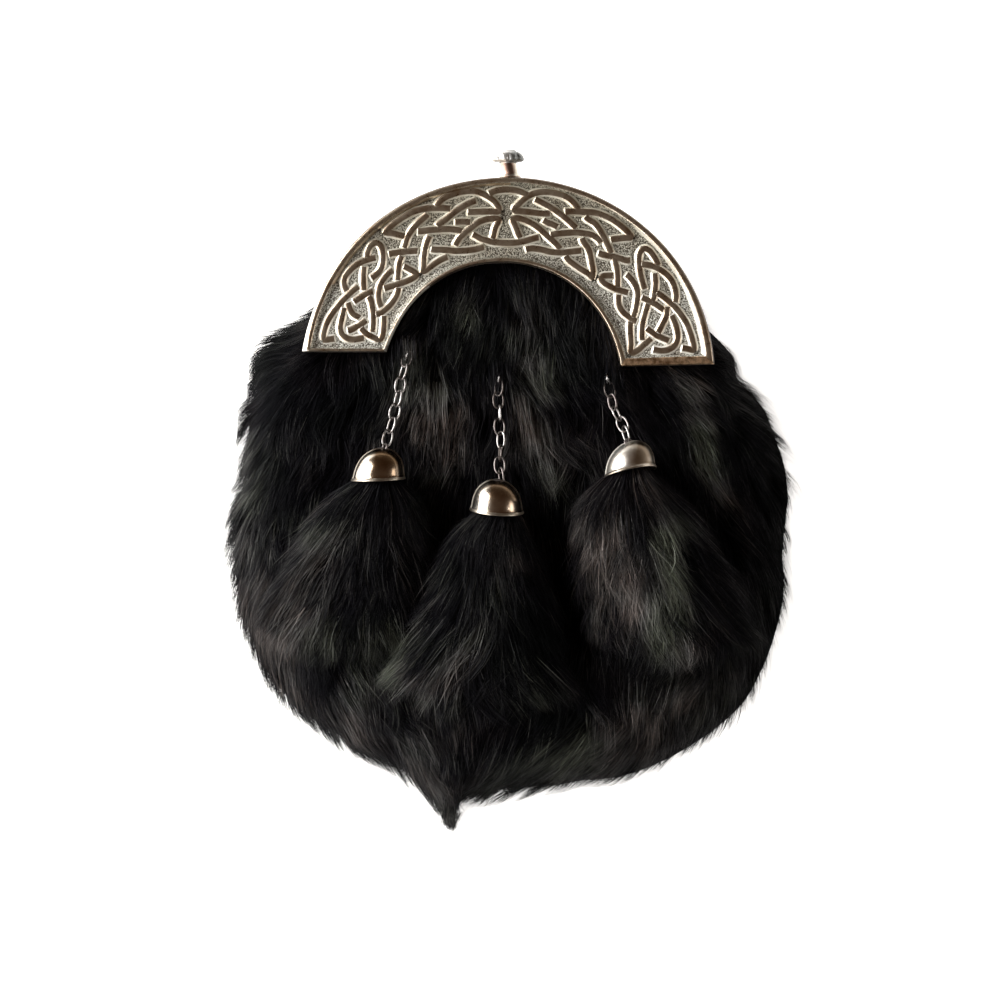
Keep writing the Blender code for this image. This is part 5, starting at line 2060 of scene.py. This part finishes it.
def tassel_hair(side, drop, total, seed):
    rng = np.random.default_rng(seed)
    place, end_at = tassel_space(side, drop)
    locks, clumps, steps = 130, 1000, 8
    lock = rng.integers(0, locks, clumps)
    lock_s = 76 * rng.uniform(0, 1, locks) ** 0.8 - 4
    lock_s[: locks // 4] = rng.uniform(-4, 4, locks // 4)
    lock_a = np.where(
        rng.uniform(0, 1, locks) < 0.88, rng.uniform(-0.2, math.pi + 0.2, locks), rng.uniform(0, TAU, locks)
    )
    c_s = lock_s[lock] + rng.normal(0, 3.0, clumps)
    c_a = lock_a[lock] + rng.normal(0, 0.22, clumps)
    length = rng.uniform(15, 25, locks)[lock] * rng.uniform(0.85, 1.15, clumps)
    limit = end_at(np.cos(c_a)) + rng.normal(0, 1.8, locks)[lock]
    tip = np.minimum(c_s + length, limit)
    start = np.minimum(c_s, tip - rng.uniform(13, 19, clumps))
    start = np.maximum(start, -5.5)
    f = np.linspace(0, 1, steps)[None]
    s = start[:, None] + (tip - start)[:, None] * f
    swirl = (rng.normal(0, 0.20, locks)[lock] + rng.normal(0, 0.06, clumps))[:, None] * f**1.4
    a = c_a[:, None] + swirl
    deep = rng.uniform(0.58, 0.86, clumps)
    out = 1.02 + rng.normal(0, 0.07, locks)[lock] + rng.normal(0, 0.03, clumps)
    rho = deep[:, None] + (out - deep)[:, None] * (0.5 * (1 - (1 - f) ** 2) + 0.5 * f)
    C = place(s, rho * np.cos(a), rho * np.sin(a))

    owner = rng.integers(0, clumps, total)
    own = rng.uniform(0.66, 1.0, total)
    f = np.linspace(0, 1, KNOTS)[None] * own[:, None]
    P = along(C[owner], f)
    T = np.gradient(P, axis=1)
    T /= np.linalg.norm(T, axis=2, keepdims=True)
    ang = c_a[owner]
    N = np.stack((np.cos(ang) * 0.8, np.zeros(total), np.sin(ang) * 1.3 + 0.4), -1)
    N /= np.linalg.norm(N, axis=1, keepdims=True)
    N = np.repeat(N[:, None], KNOTS, 1)
    B = np.cross(T, N)
    B /= np.linalg.norm(B, axis=2, keepdims=True)
    near = np.clip((start[owner] + 5) / 12, 0.12, 1)
    reach = 3.0 * np.sqrt(rng.uniform(0, 1, total))
    spin = rng.uniform(0, TAU, total)
    spread_out = near[:, None] + (1 - near[:, None]) * f
    gather = 1 - rng.uniform(0.3, 0.7, clumps)[owner][:, None] * f**1.2
    P = P + B * (reach * np.cos(spin))[:, None, None] * (gather * spread_out)[..., None]
    P = P + T[:, :1] * (reach * np.sin(spin) * near)[:, None, None]
    P = P + N * (rng.normal(-0.2, 0.55, total)[:, None] * f)[..., None]
    P = P + B * (rng.normal(0, 1.1, total)[:, None] * f**1.5)[..., None]
    wave = np.sin(f * rng.uniform(2.0, 5.0, total)[:, None] + rng.uniform(0, TAU, total)[:, None])
    P = P + B * (wave * rng.uniform(0.1, 0.5, total)[:, None] * f)[..., None]
    wild = rng.uniform(0, 1, total) < 0.07
    P = P + (B * rng.normal(0, 3.2, total)[:, None, None] + N * 1.2) * (f**2 * wild[:, None])[..., None]
    # the roots stay inside the cap's mouth
    up = drop_axis(drop)
    mouth = np.array((*drop["mouth"], DROP_Z))
    rel = P - mouth
    h = rel @ up
    radial = rel - h[..., None] * up
    r = np.linalg.norm(radial, axis=2)
    most = np.where(h > -0.4, 8.3 - 0.5 * np.clip(h, 0, 9), 8.3 + 2.6 * (-h - 0.4))
    k = np.minimum(1.0, most / np.maximum(r, 1e-6))
    P = mouth + h[..., None] * up + radial * k[..., None]
    floor = read(HEIGHT, P[..., 0], P[..., 1]) + 0.2
    P[..., 2] = np.where(h < -6, np.maximum(P[..., 2], floor), P[..., 2])
    width = rng.uniform(0.17, 0.34, total)
    roll = rng.uniform(-0.75, 0.75, total)
    # each hair's painted sheen, from the tassels' table, with some scatter
    shine = sheen_at(TASSEL_SHEEN, P[:, 3], 0.22)
    shine = shine + rng.normal(0, 0.05, locks)[lock][owner] + rng.normal(0, 0.05, clumps)[owner]
    shine = shine * rng.normal(1, 0.26, total) + rng.normal(0, 0.08, total)
    return P, N, width, roll, shine


def tassel_core(side, drop):
    """The dark heart of a tassel, under its hair."""
    place, end_at = tassel_space(side, drop)
    a = TAU * np.arange(28) / 28
    loops = []
    last = float(end_at(np.array(0.0)))
    for s, k in (
        (-7.5, 0.45),
        (-5.0, 0.60),
        (-1.0, 0.66),
        (3.0, 0.62),
        (9.0, 0.60),
        (18.0, 0.58),
        (28.0, 0.58),
        (last - 36, 0.54),
        (last - 28, 0.46),
        (last - 22, 0.30),
        (last - 19, 0.10),
    ):
        loops.append(place(np.full(28, s), k * np.cos(a), k * np.sin(a)))
    bag = Bag()
    bag.grid(np.stack(loops), close_v=True, cap=True)
    ob = bag.made(f"tassel_core_{side}", SKIN)
    fix_normals(ob)
    return ob


TASSEL_TOTAL = 13500
for seed, (side, drop) in enumerate(DROPS.items()):
    core = tassel_core(side, drop)
    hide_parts(f"tassel_{side}")
    strands = tassel_hair(side, drop, TASSEL_TOTAL, 50 + seed)
    groups = np.zeros(TASSEL_TOTAL, int)
    for ob in hair_pieces(*strands, groups, (f"tassel_hair_{side}",)):
        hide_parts(f"tassel_{side}")

# ---------------------------------------------------------------- what is kept
for name, ob in frame["nodes"].items():
    if name.startswith("chain_staple"):
        mat = STEEL
    elif name == "pouch_shell":
        mat = POUCH_LEATHER
    elif name == "back_panel" or name.startswith("strap_loop"):
        mat = BACK_LEATHER
    else:
        continue
    ob.data.materials.clear()
    ob.data.materials.append(mat)

for ob in list(bpy.data.objects):
    if ob.type == "MESH" and "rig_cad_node" not in ob and ob.parent is None:
        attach(ob, "root")

# ----------------------------------------------------------- floor and studio
floor_mesh = bpy.data.meshes.new("floor")
size = 3.0
floor_mesh.from_pydata([(-size, -size, 0), (size, -size, 0), (size, size, 0), (-size, size, 0)], [], [(0, 1, 2, 3)])
floor = bpy.data.objects.new("floor", floor_mesh)
bpy.context.scene.collection.objects.link(floor)
floor_mat, nodes, links, shader = shader_of("floor paper")
shader.inputs["Base Color"].default_value = (0.90, 0.90, 0.89, 1)
shader.inputs["Roughness"].default_value = 0.9
shader.inputs["Emission Color"].default_value = (1.0, 0.985, 0.97, 1)
shader.inputs["Emission Strength"].default_value = 0.90
floor_mesh.materials.append(floor_mat)


def area(name, place, aim, wide, tall, power, colour):
    light = bpy.data.lights.new(name, "AREA")
    light.shape = "RECTANGLE"
    light.size, light.size_y = wide, tall
    light.energy = power
    light.color = colour
    ob = bpy.data.objects.new(name, light)
    bpy.context.scene.collection.objects.link(ob)
    ob.location = place
    ob.rotation_euler = (Vector(aim) - Vector(place)).to_track_quat("-Z", "Y").to_euler()
    return ob


area("window", (-1.45, 0.55, 0.62), (0, 0, 0.03), 1.3, 1.4, 80, (1.0, 0.985, 0.96))
area("window low", (-1.25, -0.95, 0.55), (0, 0, 0.03), 1.3, 1.2, 40, (1.0, 0.985, 0.97))
area("fill", (1.6, -0.1, 0.55), (0, 0, 0.03), 1.0, 0.5, 7, (1.0, 0.95, 0.88))

area("lamp", (1.26, -0.1, 0.84), (0, 0, 0.03), 0.07, 0.07, 1.6, (1.0, 0.97, 0.93))

# A room that is pale along its walls and brown and dim overhead.
world = bpy.data.worlds.new("room")
bpy.context.scene.world = world
world.use_nodes = True
nodes, links = world.node_tree.nodes, world.node_tree.links
where = nodes.new("ShaderNodeTexCoord")
parts = nodes.new("ShaderNodeSeparateXYZ")
links.new(where.outputs["Generated"], parts.inputs["Vector"])
heights = ramp(
    nodes,
    (
        (0.0, (0.40, 0.38, 0.35)),
        (0.14, (0.30, 0.27, 0.23)),
        (0.28, (0.13, 0.100, 0.072)),
        (0.50, (0.080, 0.054, 0.037)),
        (1.0, (0.072, 0.047, 0.031)),
    ),
)
links.new(parts.outputs["Z"], heights.inputs["Fac"])
links.new(heights.outputs["Color"], nodes["Background"].inputs["Color"])
nodes["Background"].inputs["Strength"].default_value = 1.0

camera = bpy.data.cameras.new("camera")
camera.sensor_width = 36
camera.lens = 36 * 1361 / 368
camera.clip_start, camera.clip_end = 0.05, 20
eye = bpy.data.objects.new("camera", camera)
bpy.context.scene.collection.objects.link(eye)
eye.location = (-3.13 * MM, -4.05 * MM, 1.4)
eye.rotation_euler = (0, 0, 0)
bpy.context.scene.camera = eye
bpy.context.scene.view_settings.view_transform = "Standard"
